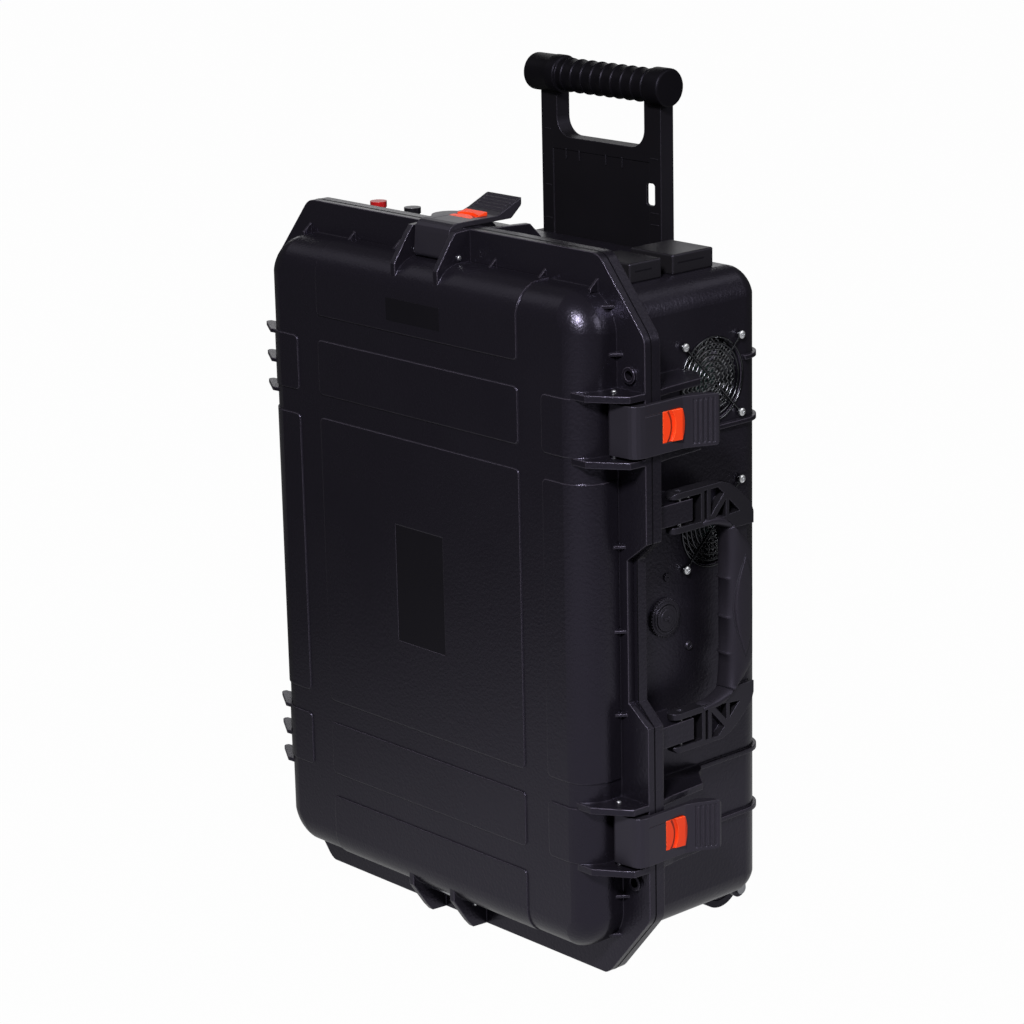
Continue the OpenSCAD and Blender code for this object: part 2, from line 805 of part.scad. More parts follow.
module carry_arm_plan() {
    top = carry_h / 2;
    fork = top - carry_arm_h;
    grip_front = grip_y - carry_grip_d / 2 + 2;
    grip_rear = grip_y + carry_grip_d / 2 - 2;
    bend = fork - carry_grip_h / 2;
    polygon([[carry_pivot_y - carry_nose, fork], [carry_pivot_y - carry_nose, top - 4],
        [carry_pivot_y - carry_nose + 4, top], [grip_front - 14, top], [grip_front - 4, top - 3.4],
        [grip_front + 6, top - 10], [grip_rear - 10.6, top - 19.4], [grip_rear - 3, top - carry_arm_h + 10],
        [grip_rear, top - carry_arm_h + 2], [grip_rear, carry_grip_h / 2],
        [grip_front, carry_grip_h / 2], [grip_front, fork]]);
    translate([grip_front - bend, fork - bend]) difference() {
        translate([0, 0.05]) square(bend + 0.5);
        circle(bend);
    }
}

module carry_pockets() {
    top = carry_h / 2;
    low = top - carry_arm_h + 4;
    a = carry_pivot_y + 26;
    polygon([[a, low], [a, top - 4], [a + 4, top - 4], [a + 4, low]]);
    polygon([[a + 8, low + 4], [a + 8, top - 4], [a + 17, top - 4], [a + 25, top - 11]]);
    polygon([[a + 12, low], [a + 27.5, low], [a + 27.5, top - 17]]);
    polygon([[a + 31.5, top - 18], [a + 31.5, low + 1], [a + 45, low + 2]]);
}

module arm_plate(x, t) {
    translate([x, 0, 0]) rotate([90, 0, 90]) linear_extrude(t) children();
}

// The arms seen along the pivot: their forks end round.
module carry_end_plan() {
    half = carry_t / 2;
    translate([carry_pivot_x, carry_pivot_y - carry_nose + half]) {
        circle(half);
        translate([-half, 0]) square([carry_t, 2 * carry_reach]);
    }
}

module carry_frame() {
    x0 = carry_pivot_x - carry_t / 2;
    slot_h = bracket_w + 6;
    color("#1f1f23") difference() {
        union() {
            carry_core();
            intersection() {
                for (s = [0, 1]) mirror([0, 0, s]) arm_plate(x0, carry_t) carry_arm_plan();
                linear_extrude(2 * carry_h, center = true) carry_end_plan();
            }
        }
        for (s = [0, 1]) mirror([0, 0, s]) {
            arm_plate(x0 + 6, carry_t) carry_pockets();
            translate([x0 - 1, carry_pivot_y - 20, bracket_z - slot_h / 2]) cube([carry_t + 2, 42, slot_h]);
        }
        carry_bores(carry_pin_r);
    }
}

// A lens of two arcs, for the pad on the outside of the grip.
module lens(half_w, half_h) {
    r = (half_w * half_w + half_h * half_h) / (2 * half_w);
    intersection_for (s = [-1, 1]) translate([s * (r - half_w), 0]) circle(r);
}

module carry_grip() {
    rings = [-0.627, -0.133, 0.36, 0.853];
    round_r = carry_grip_w / 2 - 0.5;
    pad_d = 0.8;
    color("#19191b") difference() {
        union() {
            translate([grip_x, grip_y, 0]) upright(carry_grip_h)
                rounded_rect(carry_grip_w, carry_grip_d, round_r);
            for (k = rings) translate([grip_x, grip_y, k * carry_grip_h / 2]) upright(4)
                rounded_rect(carry_grip_w + 2 * grip_ring, carry_grip_d + 2 * grip_ring, round_r + grip_ring);
        }
        carry_core();
        arm_plate(grip_x + carry_grip_w / 2 - pad_d, 10) translate([grip_y, 0]) lens(9, 0.325 * carry_grip_h);
    }
}

module carry_pin() {
    color("#8f9196") pin(carry_pin_r, bracket_w + 16);
}

module carry_pin_upper() {
    translate([carry_pivot_x, carry_pivot_y, bracket_z]) carry_pin();
}

module carry_pin_lower() {
    translate([carry_pivot_x, carry_pivot_y, -bracket_z]) carry_pin();
}

// Trolley handle: a wide plate that slides in a guide on the back of the base.
module box(x0, x1, y0, y1, z0, z1) {
    translate([x0, y0, z0]) cube([x1 - x0, y1 - y0, z1 - z0]);
}

module trolley_guide() {
    inner = trolley_w / 2 + slide_gap;
    outer = inner + guide_t + 4;
    low = -base_low + 28;
    high = base_top - 6;
    color("#1b1b1e") union() {
        both_sides() {
            box(inner, outer, base_d, guide_back, low, high);
            box(inner - rail_w + 2, outer, slot_y, guide_back, low, high);
        }
        box(-outer, outer, base_d, guide_back, low, low + 6);
        for (z = [low + 60, 0, high - 60]) box(-outer, outer, slot_y, guide_back, z - 15, z + 15);
    }
}

module trolley_plate() {
    half = trolley_w / 2;
    web = half - rail_w;
    side = half - 5;
    top = trolley_bar_z;
    hole_low = top - 59;
    low = trolley_bottom + 14;
    high = hole_low - 12;
    bays = 5;
    bay = (high - low) / bays;
    color("#222226") difference() {
        box(-half, half, plate_y, plate_y + trolley_t, trolley_bottom, top);
        box(-web, web, plate_y - 1, plate_y + 0.8, low, high);
        for (i = [0 : bays - 1]) box(-side, side, plate_y + trolley_skin, plate_y + trolley_t + 1,
            low + i * bay, low + (i + 1) * bay - 4);
        translate([0, 0, (hole_low + top + 60) / 2]) sheet_y(plate_y - 1, plate_y + trolley_t + 1)
            rounded_rect(2 * post_in, top + 60 - hole_low, 18);
        translate([half - 14, 0, top - 101]) sheet_y(plate_y - 1, plate_y + trolley_t + 1)
            rounded_rect(11.6, 21, 3);
    }
}

module trolley_bar() {
    half = trolley_w / 2;
    cap = bar_w / 2;
    cap_t = 14;
    ridges = 9;
    pitch = 2 * (half - rail_w) / ridges;
    color("#1a1a1c") difference() {
        translate([0, bar_y, trolley_bar_z]) along_x() {
            pin(bar_r, bar_w - 20);
            for (i = [0 : ridges - 1]) translate([0, 0, (i - (ridges - 1) / 2) * pitch]) pin(bar_r + 1.8, pitch * 0.36);
            for (s = [-1, 1]) translate([0, 0, s * (cap - cap_t / 2)]) pin(bar_r + 3.5, cap_t);
        }
        both_sides() box(post_in, half, plate_y, plate_y + trolley_t, trolley_bar_z - 40, trolley_bar_z);
    }
}

// Cooling fans: frame inside the wall, rotor, wire guard and screws outside.
module fan_frame(z) {
    color("#151517") at_fan(z, fan_in - fan_d) difference() {
        union() {
            difference() {
                translate([-fan_size / 2, -fan_size / 2, 0]) cube([fan_size, fan_size, fan_d]);
                translate([0, 0, -1]) cylinder(h = fan_d + 2, r = fan_hole_r);
            }
            cylinder(h = 3, r = 19);
            for (a = [20, 110, 200, 290]) rotate(a) translate([0, -2, 0]) cube([fan_hole_r + 1, 4, 3]);
        }
        translate([0, 0, -1]) cylinder(h = 6, r = 3 + run_gap);
        translate([0, 0, -1]) at_fan_screws() cylinder(h = fan_d + 2, r = screw_r + 0.1);
    }
}

module fan_frame_upper() {
    fan_frame(fan_upper_z);
}

module fan_frame_lower() {
    fan_frame(fan_lower_z);
}

module fan_rotor(z) {
    color("#1a1a1c") at_fan(z, fan_in - fan_d) {
        cylinder(h = fan_d - 3, r = 3);
        translate([0, 0, 4]) cylinder(h = fan_d - 6, r = 18);
        intersection() {
            translate([0, 0, 4]) cylinder(h = fan_d - 6, r = fan_hole_r - 1.2);
            for (i = [0 : fan_blades - 1]) rotate(i * 360 / fan_blades)
                translate([fan_hole_r / 2, 0, 4 + (fan_d - 6) / 2]) rotate([40, 0, 0])
                    cube([fan_hole_r + 8, 1.8, 34], center = true);
        }
    }
}

module fan_rotor_upper() {
    fan_rotor(fan_upper_z);
}

module fan_rotor_lower() {
    fan_rotor(fan_lower_z);
}

module wire_ring(r) {
    rotate_extrude() translate([r, 0]) circle(wire_r);
}

module fan_guard(z) {
    rings = 7;
    first = 6;
    eye = 3.2;
    step = (fan_hole_r + 1 - first) / (rings - 1);
    color("#9a9ca0") at_fan(z, base_x + wire_r) {
        for (i = [0 : rings - 1]) wire_ring(first + i * step);
        translate([0, 0, leg_rise]) {
            for (a = [45, 135, 225, 315]) rotate([90, 0, a])
                translate([0, 0, first - 2]) cylinder(h = fan_pitch / sqrt(2) - eye - first + 2, r = wire_r);
            at_fan_screws() wire_ring(eye);
        }
    }
}

module fan_guard_upper() {
    fan_guard(fan_upper_z);
}

module fan_guard_lower() {
    fan_guard(fan_lower_z);
}

module fan_screw(z, sx, sy) {
    color("#d5d7da") at_fan(z, base_x + 2 * wire_r + leg_rise) translate([sx * fan_pitch / 2, sy * fan_pitch / 2, 0]) {
        cylinder(h = 2.6, r1 = 4.2, r2 = 3);
        translate([0, 0, -fan_seat - 19]) cylinder(h = fan_seat + 20, r = screw_r);
    }
}

module fan_screw_1() {
    fan_screw(fan_upper_z, -1, -1);
}

module fan_screw_2() {
    fan_screw(fan_upper_z, 1, -1);
}

module fan_screw_3() {
    fan_screw(fan_upper_z, -1, 1);
}

module fan_screw_4() {
    fan_screw(fan_upper_z, 1, 1);
}

module fan_screw_5() {
    fan_screw(fan_lower_z, -1, -1);
}

module fan_screw_6() {
    fan_screw(fan_lower_z, 1, -1);
}

module fan_screw_7() {
    fan_screw(fan_lower_z, -1, 1);
}

module fan_screw_8() {
    fan_screw(fan_lower_z, 1, 1);
}

// Pressure valve with a toothed collar and a knob that bears an arrow.
module valve_body() {
    teeth = 36;
    color("#202024") valve_at(base_x) difference() {
        union() {
            cylinder(h = 3.5, r = valve_r);
            cylinder(h = 4.8, r = valve_r - 2.4);
            translate([0, 0, -12]) cylinder(h = 13, r = 10.9);
            for (i = [0 : teeth - 1]) rotate(i * 360 / teeth) translate([valve_r - 1, -0.7, 0]) cube([2, 1.4, 3]);
        }
        translate([0, 0, 3.6]) cylinder(h = 5, r = valve_r - 4);
        translate([0, 0, -6]) cylinder(h = 20, r = 4 + run_gap);
    }
}

module valve_knob() {
    half = valve_r - 5;
    color("#2a2a2e") valve_at(base_x) {
        translate([0, 0, 4]) cylinder(h = 1.4, r = half);
        translate([0, 0, 5]) cylinder(h = 1, r = half - 3.4);
        translate([0, 0, -5]) cylinder(h = 10, r = 4);
        translate([0, 0, 5.5]) linear_extrude(1.4)
            polygon([[-1.4, -5], [1.4, -5], [1.4, 0.5], [4, 0.5], [0, 5.5], [-4, 0.5], [-1.4, 0.5]]);
    }
}

module rivet(ring) {
    difference() {
        union() {
            cylinder(h = 1.8, r1 = 4.4, r2 = 3.4);
            translate([0, 0, -7]) cylinder(h = 8, r = 1.95);
        }
        translate([0, 0, 0.9]) cylinder(h = 3, r = ring);
    }
}

module rivet_upper() {
    color("#3a3a3e") rivet_at(base_x, 59.6, 32.2) rivet(1.2);
}

module rivet_lower() {
    color("#3a3a3e") rivet_at(base_x, 87, -38.5) rivet(2.2);
}

// Push buttons in tall bezels on the top of the base.
module switch_body() {
    translate([0, button_y, base_top]) difference() {
        union() {
            cylinder(h = 5, r = cap_r + 5);
            cylinder(h = switch_h, r = cap_r + 2);
            translate([0, 0, -28]) cylinder(h = 29, r = cap_r + 0.4);
        }
        translate([0, 0, -20]) cylinder(h = 60, r = cap_r - 1 + run_gap);
    }
}

module switch_cap() {
    translate([0, button_y, base_top]) {
        translate([0, 0, -16]) cylinder(h = switch_h + 21, r = cap_r - 1);
        translate([0, 0, switch_h + cap_press + 0.4]) cylinder(h = 5.6, r = cap_r);
    }
}

module switch_body_red() {
    color("#2a2a2c") translate([red_x, 0, 0]) switch_body();
}

module switch_body_black() {
    color("#2a2a2c") translate([black_x, 0, 0]) switch_body();
}

module switch_cap_red() {
    color("#c0281f") translate([red_x, 0, 0]) switch_cap();
}

module switch_cap_black() {
    color("#161618") translate([black_x, 0, 0]) switch_cap();
}

// Round turning cap over a socket, in a collar beside the push buttons.
module round_cap_body() {
    floor_z = -6;
    color("#2a2a2c") translate([round_x, button_y, base_top]) difference() {
        union() {
            cylinder(h = switch_h, r = round_cap_r - 2);
            cylinder(h = 4, r = round_cap_r + 3);
            translate([0, 0, -18]) cylinder(h = 19, r = round_cap_r - 5.1);
        }
        translate([0, 0, floor_z]) cylinder(h = 80, r = cap_r + run_gap);
    }
}

module round_cap() {
    color("#202022") translate([round_x, button_y, base_top]) {
        translate([0, 0, -4]) cylinder(h = switch_h + 6, r = cap_r);
        translate([0, 0, switch_h + 0.4]) cylinder(h = 8.6, r = round_cap_r);
    }
}

// Two rubber blocks on the top of the base.
module top_block(y0, y1) {
    color("#232326") difference() {
        translate([156, (y0 + y1) / 2, base_top - 6]) linear_extrude(24) rounded_rect(54, y1 - y0, 2.5);
        base_wrap(0);
    }
}

module top_block_front() {
    top_block(45, 84.7);
}

module top_block_rear() {
    top_block(98.5, 150);
}

// Wheels on short axles in wells at the lower back corners.
module hub() {
    color("#2a2a2c") difference() {
        axle_round(wheel_r - 7, wheel_x - wheel_w / 2 + 1, wheel_x + wheel_w / 2 - 1);
        axle_round(axle_r + run_gap, wheel_x - wheel_w, wheel_x + wheel_w);
        axle_round(wheel_r - 10, wheel_x + wheel_w / 2 - 4, wheel_x + wheel_w);
    }
    color("#2a2a2c") difference() {
        axle_round(8, wheel_x - wheel_w / 2 + 1, wheel_x + wheel_w / 2 - 1);
        axle_round(axle_r + run_gap, wheel_x - wheel_w, wheel_x + wheel_w);
    }
}

module tyre() {
    color("#121213") difference() {
        axle_round(wheel_r, wheel_x - wheel_w / 2, wheel_x + wheel_w / 2);
        axle_round(wheel_r - 7, wheel_x - wheel_w, wheel_x + wheel_w);
    }
}

module axle() {
    color("#d5d7da") {
        axle_round(axle_r, wheel_x - well_w / 2 - cheek_t, axle_head_x + 1);
        axle_round(axle_head_r, axle_head_x - 0.5, axle_head_x + 3);
    }
}

module wheel_right() {
    hub();
}

module wheel_left() {
    mirror([1, 0, 0]) hub();
}

module tyre_right() {
    tyre();
}

module tyre_left() {
    mirror([1, 0, 0]) tyre();
}

module axle_right() {
    axle();
}

module axle_left() {
    mirror([1, 0, 0]) axle();
}

placed() {
    lid_shell();
    lid_gasket();
    lid_plate();
    base_shell();
    hinge_pin_upper();
    hinge_pin_lower();
    latch_pin_upper();
    latch_pin_lower();
    latch_pin_top();
    latch_pin_bottom();
    latch_lever_upper();
    latch_lever_lower();
    latch_lever_top();
    latch_button_upper();
    latch_button_lower();
    latch_button_top();
    carry_frame();
    carry_grip();
    carry_pin_upper();
    carry_pin_lower();
    trolley_guide();
    trolley_plate();
    trolley_bar();
    fan_frame_upper();
    fan_frame_lower();
    fan_rotor_upper();
    fan_rotor_lower();
    fan_guard_upper();
    fan_guard_lower();
    fan_screw_1();
    fan_screw_2();
    fan_screw_3();
    fan_screw_4();
    fan_screw_5();
    fan_screw_6();
    fan_screw_7();
    fan_screw_8();
    valve_body();
    valve_knob();
    rivet_upper();
    rivet_lower();
    switch_body_red();
    switch_body_black();
    switch_cap_red();
    switch_cap_black();
    round_cap_body();
    round_cap();
    top_block_front();
    top_block_rear();
    wheel_right();
    wheel_left();
    tyre_right();
    tyre_left();
    axle_right();
    axle_left();
}
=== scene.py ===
import math

import bmesh
import bpy
from mathutils import Matrix, Vector


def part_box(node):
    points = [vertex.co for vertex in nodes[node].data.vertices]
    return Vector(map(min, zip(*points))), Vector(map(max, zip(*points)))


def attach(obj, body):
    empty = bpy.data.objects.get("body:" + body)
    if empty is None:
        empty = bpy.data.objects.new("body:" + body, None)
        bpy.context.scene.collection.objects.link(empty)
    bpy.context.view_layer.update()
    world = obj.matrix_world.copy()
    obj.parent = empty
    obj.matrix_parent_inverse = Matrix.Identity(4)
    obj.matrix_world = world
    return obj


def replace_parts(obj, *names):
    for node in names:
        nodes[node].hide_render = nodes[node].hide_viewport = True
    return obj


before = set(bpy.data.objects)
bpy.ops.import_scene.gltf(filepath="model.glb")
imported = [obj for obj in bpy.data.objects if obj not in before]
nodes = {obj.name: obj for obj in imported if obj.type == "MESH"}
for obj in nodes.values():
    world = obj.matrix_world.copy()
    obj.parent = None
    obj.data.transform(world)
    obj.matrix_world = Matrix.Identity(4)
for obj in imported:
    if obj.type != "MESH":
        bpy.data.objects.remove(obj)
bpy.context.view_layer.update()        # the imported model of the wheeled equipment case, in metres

# The two moulded shells. Lid and base are injection moulded in black polypropylene with a spark-eroded
# grain; ribs, hinge fins, brackets and wheel wells are moulded in one piece with the walls.
MM = 0.001
seam_mid = Vector((0, -78.7, 336)) * MM          # middle of the rim, halfway between lid and base
flow_mm = 90                                     # how far apart the slow changes of shine lie
noise_low, noise_high = 0.3, 0.7                 # nearly all values of a noise lie between these
highlight_from, highlight_full = 0.985, 0.80               # cosine between the true and the rounded normal where the painted edge highlight starts, and where it is full
hollow_mm = 3                                    # an inner corner within this reach gets no painted edge highlight
hollow_share, open_share = 0.72, 0.95            # how open a hollow is to its surroundings, and a corner


def linear(hex_colour):
    """An sRGB hex colour as the linear RGBA that a shader takes."""
    values = [int(hex_colour[i:i + 2], 16) / 255 for i in (1, 3, 5)]
    return [v / 12.92 if v <= 0.04045 else ((v + 0.055) / 1.055) ** 2.4 for v in values] + [1.0]


def add(tree, kind, settings=None, **sockets):
    """Adds one shader node with its settings; each socket gets a value or the output that feeds it."""
    made = tree.nodes.new(kind)
    for name, value in (settings or {}).items():
        setattr(made, name, value)
    for name, value in sockets.items():
        socket = made.inputs[int(name[2:]) if name.startswith("in") else name.replace("_", " ")]
        if isinstance(value, bpy.types.NodeSocket):
            tree.links.new(value, socket)
        else:
            socket.default_value = value
    return made


def start_material(name):
    """An empty node material with its Principled shader, ready for the finish's own nodes."""
    made = bpy.data.materials.new(name)
    made.use_nodes = True
    tree = made.node_tree
    tree.nodes.clear()
    shader = add(tree, "ShaderNodeBsdfPrincipled")
    add(tree, "ShaderNodeOutputMaterial", Surface=shader.outputs["BSDF"])
    return made, tree, shader


def moulded_plastic(name, colour, highlight_colour, rough, grain_mm, depth_mm, edge_mm, ior=1.49, sheen="#e4dcff"):
    """Plastic or rubber from a grained mould: fine bumps, slow shine changes, convex edges painted paler as a
    highlight.

    The grain is drawn a few times coarser than the real 0.3 mm one, so that it shows in the render.
    """
    made, tree, shader = start_material(name)
    place = add(tree, "ShaderNodeTexCoord").outputs["Object"]
    grain = add(tree, "ShaderNodeTexNoise", Vector=place, Scale=1 / (grain_mm * MM),
                Detail=3.0, Roughness=0.6)
    flow = add(tree, "ShaderNodeTexNoise", Vector=place, Scale=1 / (flow_mm * MM), Detail=2.0)
    rounded = add(tree, "ShaderNodeBevel", {"samples": 6}, Radius=edge_mm * MM)
    normal = add(tree, "ShaderNodeNewGeometry").outputs["Normal"]
    meet = add(tree, "ShaderNodeVectorMath", {"operation": "DOT_PRODUCT"},
               in0=rounded.outputs["Normal"], in1=normal)
    edge = add(tree, "ShaderNodeMapRange", Value=meet.outputs["Value"],
               From_Min=highlight_from, From_Max=highlight_full, To_Min=0.0, To_Max=1.0)
    hollow = add(tree, "ShaderNodeAmbientOcclusion", {"samples": 4, "only_local": True},
                 Distance=hollow_mm * MM)
    open_side = add(tree, "ShaderNodeMapRange", Value=hollow.outputs["AO"],
                    From_Min=hollow_share, From_Max=open_share, To_Min=0.0, To_Max=1.0)
    # Convex edges away from inner corners get the paler colour: a painted edge highlight.
    highlight_mask = add(tree, "ShaderNodeMath", {"operation": "MULTIPLY"},
               in0=edge.outputs["Result"], in1=open_side.outputs["Result"])
    paint = add(tree, "ShaderNodeValToRGB", Fac=highlight_mask.outputs[0])
    paint.color_ramp.elements[0].color = linear(colour)
    paint.color_ramp.elements[1].color = linear(highlight_colour)
    shine = add(tree, "ShaderNodeMapRange", Value=flow.outputs["Fac"],
                From_Min=noise_low, From_Max=noise_high, To_Min=rough - 0.04, To_Max=rough + 0.05)
    skin = add(tree, "ShaderNodeBump", Strength=0.7, Distance=depth_mm * MM,
               Height=grain.outputs["Fac"], Normal=rounded.outputs["Normal"])
    tree.links.new(paint.outputs["Color"], shader.inputs["Base Color"])
    tree.links.new(shine.outputs["Result"], shader.inputs["Roughness"])
    tree.links.new(skin.outputs["Normal"], shader.inputs["Normal"])
    shader.inputs["IOR"].default_value = ior
    shader.inputs["Specular Tint"].default_value = linear(sheen)
    return made


def finish_with(material, *names):
    """Puts a material on CAD nodes by name."""
    for name in names:
        mesh = nodes[name].data
        mesh.materials.clear()
        mesh.materials.append(material)


# Polypropylene gives a half-gloss black with a cool sheen, broken up by the grain, and a painted highlight on
# its edges.
case_pp = moulded_plastic("moulded_polypropylene", "#141218", "#47424d",
                          rough=0.28, grain_mm=3.0, depth_mm=0.42, edge_mm=1.6)
finish_with(case_pp, "lid_shell", "base_shell")

# The seal is extruded rubber pressed into a groove of the lid. Outside the seam a thin near-black band on the
# base half is painted shadow of the seam line, along the chamfers and the hand notch, all round but for the
# foot.
rim_x, rim_z = 254.44, 336.04                    # half the rim's width and height, just clear of the shells
chamfer_x, chamfer_z = 56.0, 68.0                # what each chamfer takes off the width and the height
notch_in, notch_floor_z, notch_end_z = 20.0, 66.0, 85.0
side_cut, end_cut = 5.6, 7.6                     # these round the chamfers' corners to about 18 mm
seam_shadow_w, seam_shadow_t = 1.1, 0.17
foot_clear = 2.0


def at(x, y, z):
    """A place in millimetres from the middle of the rim at the seam, in the shared frame."""
    return seam_mid + Vector((x, y, z)) * MM


def put(name, data):
    """Makes an object of a mesh, a lamp or a camera and links it to the scene."""
    made = bpy.data.objects.new(name, data)
    bpy.context.scene.collection.objects.link(made)
    return made


def piece(name, form, material, body):
    """Makes one finished object of a bmesh, with its material, on the body that carries it."""
    bmesh.ops.recalc_face_normals(form, faces=form.faces)
    if form.calc_volume(signed=True) < 0:
        bmesh.ops.reverse_faces(form, faces=form.faces)
    mesh = bpy.data.meshes.new(name)
    form.to_mesh(mesh)
    form.free()
    mesh.materials.append(material)
    made = put(name, mesh)
    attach(made, body)
    return made


def thicken(form, faces, push):
    """Extrudes faces by a vector, so that a sheet becomes a closed slab."""
    pushed = bmesh.ops.extrude_face_region(form, geom=list(faces))["geom"]
    bmesh.ops.translate(form, verts=[v for v in pushed if isinstance(v, bmesh.types.BMVert)], vec=push)


# Rubber is dull and takes the light nearly evenly; the seam band is darker still, painted as a line of shade.
seal_and_groove_shadow_rubber = moulded_plastic("seal_and_groove_shadow_rubber", "#0e0e0f", "#161617",
                              rough=0.7, grain_mm=0.9, depth_mm=0.1, edge_mm=0.4, ior=1.52)
lip_rubber = moulded_plastic("seal_lip_rubber", "#060607", "#0b0b0c",
                             rough=0.85, grain_mm=0.9, depth_mm=0.05, edge_mm=0.2, ior=1.2)
finish_with(seal_and_groove_shadow_rubber, "lid_gasket")

side_z, end_x = rim_z - chamfer_z, rim_x - chamfer_x
outline = [(rim_x, -notch_end_z), (rim_x - notch_in, -notch_floor_z), (rim_x - notch_in, notch_floor_z),
           (rim_x, notch_end_z), (rim_x, side_z), (end_x, rim_z), (-end_x, rim_z), (-rim_x, side_z),
           (-rim_x, -side_z), (-end_x, -rim_z), (end_x, -rim_z), (rim_x, -side_z)]
# The band is a painted shadow: a near-black strip where the seam lies in shade.
lip = bmesh.new()
corners = [lip.verts.new(at(x, -seam_shadow_w / 2, z)) for x, z in outline]
lip.faces.new(corners)
for height, cut_mm in ((side_z, side_cut), (rim_z, end_cut)):
    turned = [v for v, (x, z) in zip(corners, outline) if v.is_valid and abs(z) == height]
    bmesh.ops.bevel(lip, geom=turned, offset=cut_mm * MM, offset_type="OFFSET", segments=6, profile=0.5,
                    affect="VERTICES", material=-1)
inside = lip.faces[:]
band = bmesh.ops.inset_region(lip, faces=inside, thickness=-seam_shadow_t * MM, use_boundary=True,
                              use_even_offset=True)["faces"]
bmesh.ops.delete(lip, geom=inside, context="FACES_ONLY")
thicken(lip, band, Vector((0, seam_shadow_w, 0)) * MM)
bmesh.ops.bisect_plane(lip, geom=lip.verts[:] + lip.edges[:] + lip.faces[:],
                       plane_co=at(0, 0, foot_clear - rim_z), plane_no=(0, 0, -1), clear_outer=True)
bmesh.ops.holes_fill(lip, edges=[e for e in lip.edges if e.is_boundary], sides=0)
piece("seal_lip", lip, lip_rubber, "base")

# The bare plates of the lid. One is set flush in the middle panel and a smaller one is stuck on the upper
# end panel; both are thin smooth plastic sheet.
small_plate_low, small_plate_high = at(-37, -51.5, 250), at(37, -51.0, 271)
sheet_edge = 0.1


def block(form, low, high, bevel_mm, place=Matrix.Identity(4)):
    """Adds a box between two corners of a local frame, its edges rounded."""
    shape = Matrix.Translation((low + high) / 2) @ Matrix.Diagonal(high - low).to_4x4()
    box = bmesh.ops.create_cube(form, size=1.0, matrix=place @ shape)
    edges = list({e for v in box["verts"] for e in v.link_edges})
    bmesh.ops.bevel(form, geom=edges, offset=bevel_mm * MM, offset_type="OFFSET", segments=3,
                    profile=0.5, affect="EDGES", material=-1)


# The sheet has no grain, so it shows as a darker, more even patch than the moulded wall; the same sheet paints
# the shadow in the blocks' slits.
sheet_and_slit_shadow = moulded_plastic("smooth_sheet_and_slit_shadow", "#0c0b0e", "#151416",
                              rough=0.5, grain_mm=3.0, depth_mm=0.02, edge_mm=0.4, ior=1.32)
finish_with(sheet_and_slit_shadow, "lid_plate")
small_plate = bmesh.new()
block(small_plate, small_plate_low, small_plate_high, sheet_edge)
piece("small_bare_plate", small_plate, sheet_and_slit_shadow, "lid")

# Hinge pins, and the pins that carry the latches and the carry handle. They are cut from bright drawn rod
# and pressed into the moulded fins; each end of a latch pin is riveted over to a low dome.
rightward, behind, upward = Vector((1, 0, 0)), Vector((0, 1, 0)), Vector((0, 0, 1))
cloud_mm = 2.5                                   # the size of the cloudy spots in the shine of steel
weld_mm, flat_cos = 0.002, 0.99                  # points this close are one; faces this square on stay flat
rivet_facets = 28
rivet_dome = [(-0.3, 0), (-0.3, 2.0), (0.1, 2.0), (0.45, 1.8), (0.7, 1.3), (0.85, 0.6), (0.85, 0)]


def plated_steel(name, colour, rough):
    """Drawn or plated steel: bright, with a faint cloudiness in its shine."""
    made, tree, shader = start_material(name)
    place = add(tree, "ShaderNodeTexCoord").outputs["Object"]
    cloud = add(tree, "ShaderNodeTexNoise", Vector=place, Scale=1 / (cloud_mm * MM), Detail=3.0)
    shine = add(tree, "ShaderNodeMapRange", Value=cloud.outputs["Fac"],
                From_Min=noise_low, From_Max=noise_high, To_Min=rough - 0.05, To_Max=rough + 0.07)
    paint = add(tree, "ShaderNodeValToRGB", Fac=cloud.outputs["Fac"])
    paint.color_ramp.elements[0].color = linear(colour)
    paint.color_ramp.elements[1].color = [min(1.0, v * 1.15) for v in linear(colour)[:3]] + [1.0]
    tree.links.new(paint.outputs["Color"], shader.inputs["Base Color"])
    tree.links.new(shine.outputs["Result"], shader.inputs["Roughness"])
    shader.inputs["Metallic"].default_value = 1.0
    return made


def lathe(form, profile, place, count):
    """Turns a profile of (reach along the axis, radius) pairs in millimetres round the local Z of a place."""
    line = [form.verts.new(place @ (Vector((radius, 0, reach)) * MM)) for reach, radius in profile]
    edges = [form.edges.new(pair) for pair in zip(line, line[1:])]
    axis = place.to_3x3() @ Vector((0, 0, 1))
    bmesh.ops.spin(form, geom=line + edges, cent=place.translation, axis=axis, angle=2 * math.pi,
                   steps=count, use_merge=True)
    bmesh.ops.remove_doubles(form, verts=form.verts, dist=weld_mm * MM)
    form.normal_update()
    for face in form.faces:
        face.smooth = abs(face.normal.dot(axis)) < flat_cos


def facing(seat, axis):
    """A local frame on a seat, with its Z along an axis."""
    return Matrix.Translation(seat) @ axis.to_track_quat("Z", "Y").to_matrix().to_4x4()


# Bright steel shows as sharp light lines on the black fins; zinc plating is whiter and softer.
pin_steel = plated_steel("bright_drawn_steel", "#b9babd", 0.25)
screw_steel = plated_steel("zinc_plated_steel", "#e2e3e6", 0.42)
finish_with(pin_steel, "hinge_pin_upper", "hinge_pin_lower", "latch_pin_upper", "latch_pin_lower",
            "latch_pin_top", "latch_pin_bottom", "carry_pin_upper", "carry_pin_lower")
for name in ("upper", "lower", "top", "bottom"):
    low, high = (Vector(corner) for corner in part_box("latch_pin_" + name))
    axis = rightward if name in ("top", "bottom") else upward
    heads = bmesh.new()
    for side in (-1, 1):
        seat = (low + high) / 2 + axis * side * (high - low).dot(axis) / 2
        lathe(heads, rivet_dome, facing(seat, axis * side), rivet_facets)
    piece("latch_pin_heads_" + name, heads, screw_steel, "lid")
